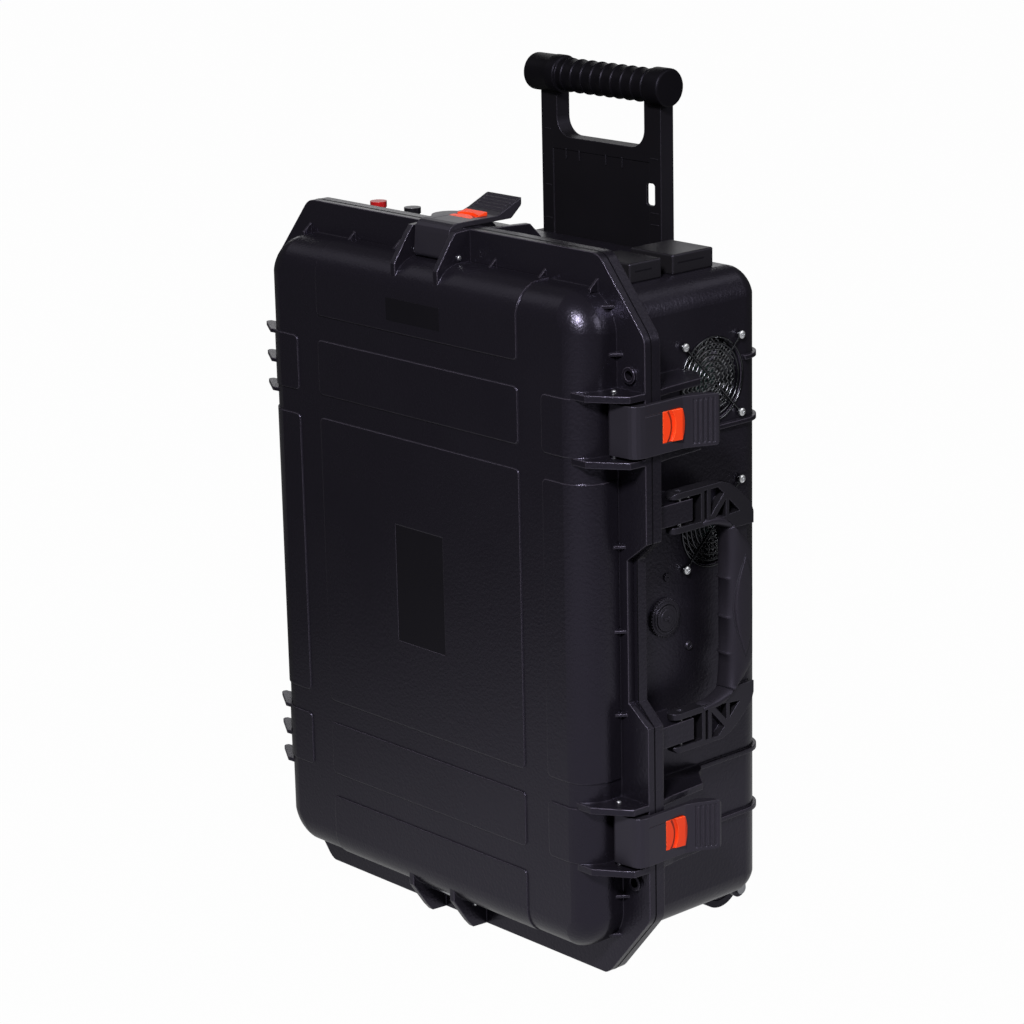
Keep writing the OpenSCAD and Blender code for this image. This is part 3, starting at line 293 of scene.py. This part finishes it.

# The three latches. Levers of black glass-filled nylon turn on steel pins; each has an orange push button of
# ABS in a pocket, a round groove for the thumb with a painted shadow on its floor, and raised ridges across its
# flared tab.
groove_from_r, groove_to_r, groove_half = 22.95, 25.4, 33.0      # radii in mm, half its turn in degrees
groove_centre, groove_floor, groove_t = -14.2, 0.55, 0.12
tab_flare, tab_foot, tab_from, tab_to, lever_end = 18.0, 7.4, 40.0, 64.0, 67.0
ridge_places = (45.15, 49.45, 53.75, 58.05)
ridge_l, ridge_w, ridge_proud, ridge_sunk, ridge_edge = 38.0, 1.7, 0.5, 0.8, 0.45

# Glass-filled nylon is a little greyer and duller than the case; the buttons are clean, even orange, and a
# deeper orange strip on the floor of the thumb groove is painted shadow.
lever_nylon = moulded_plastic("glass_filled_nylon", "#211f25", "#3a373f",
                              rough=0.36, grain_mm=1.2, depth_mm=0.06, edge_mm=1.2, ior=1.53)
button_abs = moulded_plastic("orange_abs", "#ee3d10", "#ff6a30",
                             rough=0.36, grain_mm=1.6, depth_mm=0.03, edge_mm=0.8, ior=1.53, sheen="#ffffff")
groove_shadow_abs = moulded_plastic("deep_orange_abs", "#8e1d04", "#b02a08",
                             rough=0.5, grain_mm=1.6, depth_mm=0.03, edge_mm=0.4, ior=1.45, sheen="#ffffff")
finish_with(lever_nylon, "latch_lever_upper", "latch_lever_lower", "latch_lever_top")
finish_with(button_abs, "latch_button_upper", "latch_button_lower", "latch_button_top")

start = math.radians(groove_half)
slope = math.atan2(tab_flare - tab_foot, tab_to - tab_from)
for name in ("upper", "lower", "top"):
    outward, across = (upward, rightward) if name == "top" else (rightward, upward)

    low, high = (Vector(corner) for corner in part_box("latch_button_" + name))
    middle = across * (low + high).dot(across) / 2
    centre = middle + outward * (low.dot(outward) + groove_floor * MM) \
        + behind * (low.y + groove_centre * MM)
    spoke = behind * math.cos(start) - across * math.sin(start)
    # A thin deep orange strip on the groove's floor, a painted shadow.
    groove_shadow = bmesh.new()
    ends = [groove_shadow.verts.new(centre + spoke * radius * MM) for radius in (groove_from_r, groove_to_r)]
    bmesh.ops.spin(groove_shadow, geom=ends + [groove_shadow.edges.new(ends)], cent=centre, axis=behind.cross(across),
                   angle=2 * start, steps=24)
    thicken(groove_shadow, groove_shadow.faces, outward * groove_t * MM)
    piece("button_groove_shadow_" + name, groove_shadow, groove_shadow_abs, "press_" + name)

    low, high = (Vector(corner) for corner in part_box("latch_lever_" + name))
    middle = across * (low + high).dot(across) / 2
    along = behind * math.cos(slope) + outward * math.sin(slope)
    tab_out = outward * math.cos(slope) - behind * math.sin(slope)
    tab_frame = Matrix((along.cross(tab_out), along, tab_out)).transposed().to_4x4()
    ridges = bmesh.new()
    for back in ridge_places:
        reach = tab_foot + (tab_flare - tab_foot) * (back - tab_from) / (tab_to - tab_from)
        seat = middle + outward * (high.dot(outward) + (reach - tab_flare) * MM) \
            + behind * (high.y + (back - lever_end) * MM)
        block(ridges, Vector((-ridge_l / 2, -ridge_w / 2, -ridge_sunk)) * MM,
              Vector((ridge_l / 2, ridge_w / 2, ridge_proud)) * MM, ridge_edge,
              Matrix.Translation(seat) @ tab_frame)
    piece("lever_ridges_" + name, ridges, lever_nylon, "lever_" + name)

# The carry handle. A nylon frame is forked round its brackets; over it a soft elastomer grip is moulded on,
# one sleeve that flows from arm to arm, with low rings and a lens-shaped thumb pad on its outer face.
corner_power = 2.6                               # how square the sleeve's section is
grip_x, grip_y, grip_half_x, grip_half_y = 237, 121.5, 13, 15.5
pad_slope, pad_t, tip_weld = 0.8, 0.6, 0.01      # the pad's sloped border, its thickness, its tips made one
ring_places = (-44.5, -10, 27)
# along the grip from the middle of a ring, and how high the ring is there
ring_steps = ((-1.9, 0), (-1.2, 0.7), (-0.5, 1.2), (0.5, 1.2), (1.2, 0.7), (1.9, 0))
# y, z, lean of the section in degrees, half its width, half its depth, x: from the arm to the straight grip
elbow = [(70, -87.0, 90, 7.3, 3.3, 240), (80, -86.8, 86, 7.6, 3.9, 240), (90, -85.6, 78, 8.4, 5.4, 239.6),
         (100, -82.4, 62, 9.6, 8.0, 239), (108, -77.4, 45, 10.9, 10.8, 238.4),
         (114.5, -70.0, 28, 12.0, 13.0, 237.8), (119.2, -60.5, 12, 12.8, 14.6, 237.2),
         (121.3, -52.5, 3, 13.0, 15.4, 237)]


def sleeve_ring(form, centre, lean, half_x, half_n, rise=0.0):
    """One ring of the sleeve, half_x across the case side and half_n in the bend plane, raised inside."""
    normal = Vector((0, math.cos(lean), math.sin(lean)))
    ring = bmesh.ops.create_circle(form, segments=48, radius=1.0)["verts"]
    edges = list({e for v in ring for e in v.link_edges})
    for v in ring:
        c, s = v.co.x, v.co.y
        lift = rise * min(1.0, max(0.0, 1.2 - 2 * c))    # full inside, none on the outer face
        x = math.copysign(abs(c) ** (2 / corner_power), c) * (half_x + lift)
        n = math.copysign(abs(s) ** (2 / corner_power), s) * (half_n + lift)
        v.co = centre + (Vector((x, 0, 0)) + normal * n) * MM
    return edges


def lens_pad(form, half_y, half_z, low_mm, rise_mm):
    """A lens-shaped slab on the outer face of the sleeve, its edge low and its middle raised."""
    sheet = bmesh.ops.create_grid(form, x_segments=48, y_segments=10, size=1.0)["verts"]
    for v in sheet:
        z = half_z * v.co.x
        wide = half_y * (1 - v.co.x ** 2)
        y = wide * v.co.y
        x = grip_half_x * (1 - (abs(y) / grip_half_y) ** corner_power) ** (1 / corner_power)
        inner = min(1.0, (wide - abs(y)) / pad_slope)
        v.co = at(grip_x + x + low_mm + rise_mm * inner, grip_y + y, z)
    for face in form.faces:
        face.smooth = True
    thicken(form, form.faces, Vector((-pad_t, 0, 0)) * MM)
    bmesh.ops.remove_doubles(form, verts=form.verts, dist=tip_weld * MM)


# The frame has the dull gloss of nylon; the elastomer is softer, a shade paler, with broad highlights.
handle_nylon = moulded_plastic("handle_nylon", "#131215", "#2c2a31",
                               rough=0.38, grain_mm=1.2, depth_mm=0.06, edge_mm=1.2, ior=1.53)
grip_tpe = moulded_plastic("soft_grip_elastomer", "#1a181d", "#2d2a32",
                           rough=0.46, grain_mm=0.9, depth_mm=0.05, edge_mm=1.6, ior=1.5)
finish_with(handle_nylon, "carry_frame")
finish_with(grip_tpe, "carry_grip")

stations = [(at(x, y, z), math.radians(lean), hx, hn) for y, z, lean, hx, hn, x in elbow]
for ring_z in ring_places:
    stations += [(at(grip_x, grip_y, ring_z + step), 0.0, grip_half_x, grip_half_y, rise)
                 for step, rise in ring_steps]
stations += [(at(x, y, -z), -math.radians(lean), hx, hn) for y, z, lean, hx, hn, x in reversed(elbow)]
sleeve = bmesh.new()
rings = [sleeve_ring(sleeve, *station) for station in stations]
for one, two in zip(rings, rings[1:]):
    bmesh.ops.bridge_loops(sleeve, edges=one + two)
for face in sleeve.faces:
    face.smooth = True
bmesh.ops.holes_fill(sleeve, edges=rings[0] + rings[-1], sides=0)
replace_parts(piece("carry_grip_sleeve", sleeve, grip_tpe, "carry_handle"), "carry_grip")

# A dark rubber lens a little wider than the thumb pad lies under it, so that a dark line shows round the pad:
# painted shadow of its groove.
pad_groove_shadow = bmesh.new()
lens_pad(pad_groove_shadow, half_y=13.0, half_z=49.5, low_mm=0.05, rise_mm=0.1)
piece("grip_pad_groove_shadow", pad_groove_shadow, seal_and_groove_shadow_rubber, "carry_handle")
pad = bmesh.new()
lens_pad(pad, half_y=12.0, half_z=47.0, low_mm=0.0, rise_mm=0.7)
piece("grip_thumb_pad", pad, grip_tpe, "carry_handle")

# The trolley guide: a moulded polypropylene channel on the back of the base. Six zinc plated pan-head screws
# hold it, three down each side rail.
guide_screw_x, guide_screw_y, guide_screw_places = 84.5, 208.6, (-250, 0, 262)
guide_shank_r, guide_shank = 1.6, 12
pan_r, pan_h = 3.6, 2.0
dome_fall, cross_deep = 0.45, 0.45               # as shares of the head's height
cross_half, cross_reach = 0.13, 0.56             # as shares of the head's radius


def rod(form, radius_mm, length_mm, place, count):
    """Adds a round bar, centred on a place and along its local Z."""
    bmesh.ops.create_cone(form, cap_ends=True, segments=count, radius1=radius_mm * MM,
                          radius2=radius_mm * MM, depth=length_mm * MM, matrix=place)


def screw(seat, axis, shank_r, shank_mm):
    """A pan-head screw with a cross recess; the head stands on its seat along the axis."""
    form = bmesh.new()
    place = facing(seat, axis)
    cross = []
    for v in bmesh.ops.create_grid(form, x_segments=28, y_segments=28, size=1.0)["verts"]:
        a, b = v.co.x, v.co.y                    # the square grid is drawn into a disc and domed
        x, y = a * math.sqrt(1 - b * b / 2), b * math.sqrt(1 - a * a / 2)
        v.co = Vector((x, y, 1 - dome_fall * math.hypot(x, y) ** 3))
    for face in form.faces:
        near, far = sorted(abs(reach) for reach in face.calc_center_median()[:2])
        if near < cross_half and far < cross_reach:
            cross.append(face)
    rim = [e for e in form.edges if e.is_boundary]
    thicken(form, cross, Vector((0, 0, -cross_deep)))
    bmesh.ops.delete(form, geom=cross, context="FACES")
    skirt = bmesh.ops.extrude_edge_only(form, edges=rim)["geom"]
    for v in skirt:
        if isinstance(v, bmesh.types.BMVert):
            v.co.z = 0
    bmesh.ops.holes_fill(form, edges=[e for e in form.edges if e.is_boundary], sides=0)
    size = Matrix.Diagonal(Vector((pan_r, pan_r, pan_h)) * MM).to_4x4()
    bmesh.ops.transform(form, matrix=place @ size, verts=form.verts)
    rod(form, shank_r, shank_mm, place @ Matrix.Translation((0, 0, -shank_mm / 2 * MM)), 20)
    return form


# The guide is a plain dull black, with little of the case's grain.
guide_pp = moulded_plastic("guide_polypropylene", "#121113", "#262428",
                           rough=0.45, grain_mm=1.3, depth_mm=0.12, edge_mm=1.0)
finish_with(guide_pp, "trolley_guide")
for index, z in enumerate(guide_screw_places):
    for side in (-1, 1):
        one = screw(at(side * guide_screw_x, guide_screw_y, z), behind, guide_shank_r, guide_shank)
        piece("guide_screw_%d_%s" % (index + 1, "right" if side > 0 else "left"), one, screw_steel, "base")

# The trolley handle. Its flat sliding plate is moulded in polypropylene, with short cross ribs on both rails
# and stops under the hand hole; over its top edge sits a ridged vinyl grip between a collar and an end cap.
rib_y, rib_proud, rib_h, rib_edge = 186.3, 187.2, 1.4, 0.3
rib_rows = [(-76, -68, (392, 338, 306, 275)), (66.5, 77, (378, 327, 316, 283))]      # x from, x to, heights
stop_places, stop_w, stop_low, stop_high, stop_proud = (-48, -30, 6, 28), 1.5, 366, 376, 187.8
bar_y, bar_z, bar_facets = 190, 446, 64
bar_ridge_first, bar_ridge_pitch, bar_ridge_count = -41.3, 13.4, 9
# the outline of the grip as pairs of reach along the bar and radius: collar, one ridge, end cap
bar_collar = [(-90, 0), (-90, 15.6), (-89.9, 16.4), (-89.4, 17.2), (-88.4, 17.6), (-87, 17.7), (-62.5, 17.7),
              (-61.5, 18.1), (-60.5, 18.2), (-51, 18.2), (-50, 17.9), (-49.4, 17.2), (-49.2, 16.2),
              (-48.8, 15.4), (-48, 15.2)]
bar_ridge = [(-1.5, 15.2), (-1.0, 15.4), (-0.6, 16.0), (-0.3, 16.2),
             (0.3, 16.2), (0.6, 16.0), (1.0, 15.4), (1.5, 15.2)]
bar_cap = [(69.4, 15.2), (70.2, 15.4), (70.6, 16.2), (70.8, 17.2), (71.2, 17.8), (72, 18), (87, 18),
           (88.4, 17.9), (89.4, 17.3), (89.9, 16.4), (90, 15.6), (90, 0)]

# The plate is nearly black and dull. The vinyl is as dark, and only its ridges show thin pale lines, a painted
# edge highlight.
plate_pp = moulded_plastic("trolley_polypropylene", "#0b0a0c", "#27252b",
                           rough=0.46, grain_mm=1.5, depth_mm=0.1, edge_mm=1.2, ior=1.42)
bar_pvc = moulded_plastic("trolley_grip_vinyl", "#0a090c", "#3d3944",
                          rough=0.45, grain_mm=1.2, depth_mm=0.05, edge_mm=0.9, ior=1.22)
finish_with(plate_pp, "trolley_plate")
finish_with(bar_pvc, "trolley_bar")

marks = bmesh.new()
for x_from, x_to, heights in rib_rows:
    for z in heights:
        block(marks, at(x_from, rib_y, z), at(x_to, rib_proud, z + rib_h), rib_edge)
for x in stop_places:
    block(marks, at(x, rib_y, stop_low), at(x + stop_w, stop_proud, stop_high), rib_edge)
piece("trolley_plate_ribs", marks, plate_pp, "trolley")

tube = list(bar_collar)
for ridge in range(bar_ridge_count):
    tube += [(bar_ridge_first + ridge * bar_ridge_pitch + step, radius) for step, radius in bar_ridge]
tube += bar_cap
grip_tube = bmesh.new()
lathe(grip_tube, tube, facing(at(0, bar_y, bar_z), rightward), bar_facets)
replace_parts(piece("trolley_grip_tube", grip_tube, bar_pvc, "trolley"), "trolley_bar")

# Two 80 mm cooling fans behind holes in the latch side. Each has a moulded polyester frame and rotor, a woven
# wire dust screen laid diagonally, a plated wire guard, four screws and a plain green sticker on its hub.
fan_places = {"upper": (118.5, 204.2), "lower": (118.5, 69.9)}
fan_screw_seat, fan_screw_half, fan_shank_r, fan_shank = 214.1, 35.75, 1.85, 22
screen_x, screen_r, screen_pitch, screen_wire_r, weave_half = 204, 37.4, 3.7, 0.38, 0.45
wires_aside = 10                                 # on each side of a layer's middle wire
sticker_x, sticker_r, sticker_t = 200.12, 15.5, 0.2

# The fans stay in the dark behind the bright screen; the guard's rings catch thin glints. The screen's wires
# are drawn twice as coarse as real ones, so that the weave shows.
fan_pbt = moulded_plastic("fan_polyester", "#121213", "#1e1e20",
                          rough=0.4, grain_mm=1.5, depth_mm=0.05, edge_mm=0.5, ior=1.55)
sticker_paper = moulded_plastic("green_sticker_paper", "#16342c", "#1d4238",
                                rough=0.5, grain_mm=2.0, depth_mm=0.01, edge_mm=0.3)
guard_wire = plated_steel("plated_guard_wire", "#4a4b4f", 0.22)
screen_wire = plated_steel("woven_screen_wire", "#a2a3a8", 0.34)
finish_with(fan_pbt, "fan_frame_upper", "fan_frame_lower", "fan_rotor_upper", "fan_rotor_lower")
finish_with(guard_wire, "fan_guard_upper", "fan_guard_lower")

number = 1
for name, (y, z) in fan_places.items():
    screen = bmesh.new()
    for layer, tilt in ((weave_half, 45), (-weave_half, -45)):
        laid = Matrix.Translation(at(screen_x + layer, y, z)) @ Matrix.Rotation(math.radians(tilt), 4, "X")
        for k in range(-wires_aside, wires_aside + 1):
            offset = k * screen_pitch
            length = 2 * math.sqrt(screen_r ** 2 - offset ** 2)
            rod(screen, screen_wire_r, length, laid @ Matrix.Translation((0, offset * MM, 0)), 8)
    piece("fan_screen_" + name, screen, screen_wire, "base")

    sticker = bmesh.new()
    rod(sticker, sticker_r, sticker_t, facing(at(sticker_x, y, z), rightward), 48)
    piece("rotor_sticker_" + name, sticker, sticker_paper, "rotor_" + name)

    for turn_y, turn_z in ((-1, 1), (-1, -1), (1, 1), (1, -1)):
        seat = at(fan_screw_seat, y + turn_y * fan_screw_half, z + turn_z * fan_screw_half)
        one = screw(seat, rightward, fan_shank_r, fan_shank)
        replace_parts(piece("fan_screw_head_%d" % number, one, screw_steel, "base"), "fan_screw_%d" % number)
        number += 1

# Small fittings: the pressure valve and its two rivets on the latch side, and on the top two push buttons and
# a round turning cap. All are moulded ABS, screwed or snapped into holes of the base.
fitting_abs = moulded_plastic("fitting_abs", "#141316", "#2c2a30",
                              rough=0.38, grain_mm=1.2, depth_mm=0.05, edge_mm=0.8, ior=1.53)
# The caps are glossier than the collars they sit in, and one is a deep signal red.
red_cap_abs = moulded_plastic("red_abs", "#a3161a", "#c8383a",
                              rough=0.3, grain_mm=1.6, depth_mm=0.02, edge_mm=0.6, ior=1.53, sheen="#ffffff")
black_cap_abs = moulded_plastic("black_gloss_abs", "#111013", "#232226",
                                rough=0.28, grain_mm=1.6, depth_mm=0.02, edge_mm=0.6, ior=1.53)
finish_with(fitting_abs, "valve_body", "valve_knob", "rivet_upper", "rivet_lower",
            "switch_body_red", "switch_body_black", "round_cap_body")
finish_with(red_cap_abs, "switch_cap_red")
finish_with(black_cap_abs, "switch_cap_black", "round_cap")

# The two rubber blocks on the top of the base, moulded with crisp small edges; along the outer side of each a
# thin dark strip is painted shadow standing for a slit. They are held from inside the case.
block_x, block_z = (129, 183), (298.3, 316.5)
block_ends, block_edge = {"top_block_front": (45, 84.7), "top_block_rear": (98.5, 150)}, 1.6
slit_z, slit_front, slit_rear = (307.8, 309.6), 6, 12    # its heights and its distances from the block's ends
slit_in, slit_out, slit_edge = 0.6, 0.06, 0.2
# Hard rubber: an even dark grey that turns pale where the light from behind grazes its top.
block_rubber = moulded_plastic("block_rubber", "#151416", "#2c2a30",
                               rough=0.42, grain_mm=1.0, depth_mm=0.1, edge_mm=1.5, ior=1.52)
finish_with(block_rubber, "top_block_front", "top_block_rear")
for name, (front, rear) in block_ends.items():
    body = bmesh.new()
    block(body, at(block_x[0], front, block_z[0]), at(block_x[1], rear, block_z[1]), block_edge)
    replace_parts(piece(name + "_moulded", body, block_rubber, "base"), name)
    # The slit is a thin dark strip of sheet, proud of the face: a painted shadow.
    slit_shadow = bmesh.new()
    block(slit_shadow, at(block_x[1] - slit_in, front + slit_front, slit_z[0]),
          at(block_x[1] + slit_out, rear - slit_rear, slit_z[1]), slit_edge)
    piece(name + "_slit_shadow", slit_shadow, sheet_and_slit_shadow, "base")

# The wheels. Polypropylene hubs with rubber tyres turn on steel axles, whose bright turned heads show at the
# outer sides of the wheel wells.
wheel_pp = moulded_plastic("wheel_polypropylene", "#151416", "#2c2a2f",
                           rough=0.42, grain_mm=1.2, depth_mm=0.08, edge_mm=0.8)
# Tyres are the dullest black of the case, and the axle heads the brightest metal.
tyre_rubber = moulded_plastic("tyre_rubber", "#0f0f10", "#202021",
                              rough=0.62, grain_mm=0.9, depth_mm=0.12, edge_mm=1.0, ior=1.52)
axle_steel = plated_steel("turned_axle_steel", "#94959a", 0.24)
finish_with(wheel_pp, "wheel_right", "wheel_left")
finish_with(tyre_rubber, "tyre_right", "tyre_left")
finish_with(axle_steel, "axle_right", "axle_left")

# The floor of the studio: a white paper sweep. Seen by the camera it is white; in the gloss of the case it is
# a pool of light in front that falls off to the sides, and a weak one far to the left.
floor_half_m = 30
glow_share = 0.985                               # the rest is plain paper, which takes the shade of the case
pool_stretch = (1, 0.69, 1)                      # the pools are longer than wide
# the middle of each pool in metres, where it starts and ends to fall off, and its levels there
pools = (((0.6, -0.41, 0), 0.55, 1.6, 0.54, 0.05), ((-2.1, 0, 0), 0.6, 1.2, 0.12, 0.0))


def eye_rays(tree):
    """The outputs of a light path, and a value that is 1 for what the camera sees straight or through glass."""
    rays = add(tree, "ShaderNodeLightPath").outputs
    seen = add(tree, "ShaderNodeMath", {"operation": "MAXIMUM"},
               in0=rays["Is Camera Ray"], in1=rays["Is Transmission Ray"])
    return rays, seen.outputs[0]


floor_mesh = bpy.data.meshes.new("floor")
sheet = bmesh.new()
bmesh.ops.create_grid(sheet, x_segments=1, y_segments=1, size=floor_half_m)
sheet.to_mesh(floor_mesh)
sheet.free()
floor = put("floor", floor_mesh)
floor_paper = bpy.data.materials.new("white_paper_sweep")
floor_paper.use_nodes = True
tree = floor_paper.node_tree
tree.nodes.clear()
rays, seen = eye_rays(tree)
mirrored = add(tree, "ShaderNodeMath", {"operation": "MAXIMUM"}, in0=seen, in1=rays["Is Glossy Ray"])
share = add(tree, "ShaderNodeMath", {"operation": "MULTIPLY"}, in0=mirrored.outputs[0], in1=glow_share)
spread = add(tree, "ShaderNodeVectorMath", {"operation": "MULTIPLY"},
             in0=add(tree, "ShaderNodeTexCoord").outputs["Object"], in1=pool_stretch)
level = seen
for middle, near, far, bright, dim in pools:
    away = add(tree, "ShaderNodeVectorMath", {"operation": "DISTANCE"},
               in0=spread.outputs["Vector"], in1=middle)
    pool = add(tree, "ShaderNodeMapRange", {"interpolation_type": "SMOOTHSTEP"}, Value=away.outputs["Value"],
               From_Min=near, From_Max=far, To_Min=bright, To_Max=dim)
    level = add(tree, "ShaderNodeMath", {"operation": "MAXIMUM"},
                in0=level, in1=pool.outputs["Result"]).outputs[0]
paper = add(tree, "ShaderNodeBsdfDiffuse", Color=linear("#69696c"))
glow = add(tree, "ShaderNodeEmission", Color=linear("#ffffff"), Strength=level)
sweep = add(tree, "ShaderNodeMixShader", Fac=share.outputs[0], in1=paper.outputs[0], in2=glow.outputs[0])
add(tree, "ShaderNodeOutputMaterial", Surface=sweep.outputs[0])
floor_mesh.materials.append(floor_paper)

# The light. A small strong softbox stands high in front of the lid and a weaker one toward the latch side;
# three dim wide ones behind, above and to the left only draw soft edges in the gloss, under a faint even sky.
sky_level = 0.04
world = bpy.data.worlds.new("studio")
bpy.context.scene.world = world
world.use_nodes = True
tree = world.node_tree
tree.nodes.clear()
rays, seen = eye_rays(tree)
sky = add(tree, "ShaderNodeBackground", Color=linear("#ffffff"), Strength=sky_level)
white = add(tree, "ShaderNodeBackground", Color=linear("#ffffff"), Strength=1.0)
mixed = add(tree, "ShaderNodeMixShader", Fac=seen, in1=sky.outputs[0], in2=white.outputs[0])
add(tree, "ShaderNodeOutputWorld", Surface=mixed.outputs[0])


def softbox(name, place, aim, width, height, watts):
    """One rectangular softbox pointing at a spot on the case."""
    lamp = bpy.data.lights.new(name, "AREA")
    lamp.shape = "RECTANGLE"
    lamp.size, lamp.size_y, lamp.energy = width, height, watts
    box = put(name, lamp)
    box.location = place
    box.rotation_euler = (Vector(aim) - Vector(place)).to_track_quat("-Z", "Y").to_euler()


softbox("key_softbox", place=(1.7, -2.2, 2.6), aim=(0.1, 0, 0.35), width=0.6, height=0.5, watts=165)
softbox("side_softbox", place=(2.7, 1.2, 2.0), aim=(0, 0, 0.45), width=0.8, height=1.2, watts=22)
softbox("high_softbox", place=(0.9, 2.3, 2.9), aim=(0, 0, 0.5), width=1.2, height=1.0, watts=2.5)
softbox("back_softbox", place=(-2.6, 2.2, 1.5), aim=(0, 0, 0.5), width=2.2, height=1.4, watts=8)
softbox("left_softbox", place=(-2.2, -1.0, 2.6), aim=(0, 0, 0.4), width=1.5, height=1.5, watts=2.5)

# The camera stands where the photograph was taken from: to the right of the lid, a little above the case. Its
# axes, place and focal length were fitted to corners of the panels and the rim, fan screws and ribs.
right = Vector((0.6739, 0.7385, -0.0207))
down = Vector((0.1877, -0.1984, -0.9620))
ahead = Vector((-0.7145, 0.6444, -0.2723))
stand = seam_mid + Vector((2175.0, -1896.8, 879.8)) * MM
focal_px, frame_px, sensor_mm = 3225.53, 1024, 36
lens = bpy.data.cameras.new("photo_camera")
lens.sensor_width = sensor_mm
lens.lens = focal_px / frame_px * sensor_mm
lens.clip_end = 100
camera = put("photo_camera", lens)
camera.matrix_world = Matrix.Translation(stand) @ Matrix((right, -down, -ahead)).transposed().to_4x4()
bpy.context.scene.camera = camera
bpy.context.scene.view_settings.view_transform = "Standard"
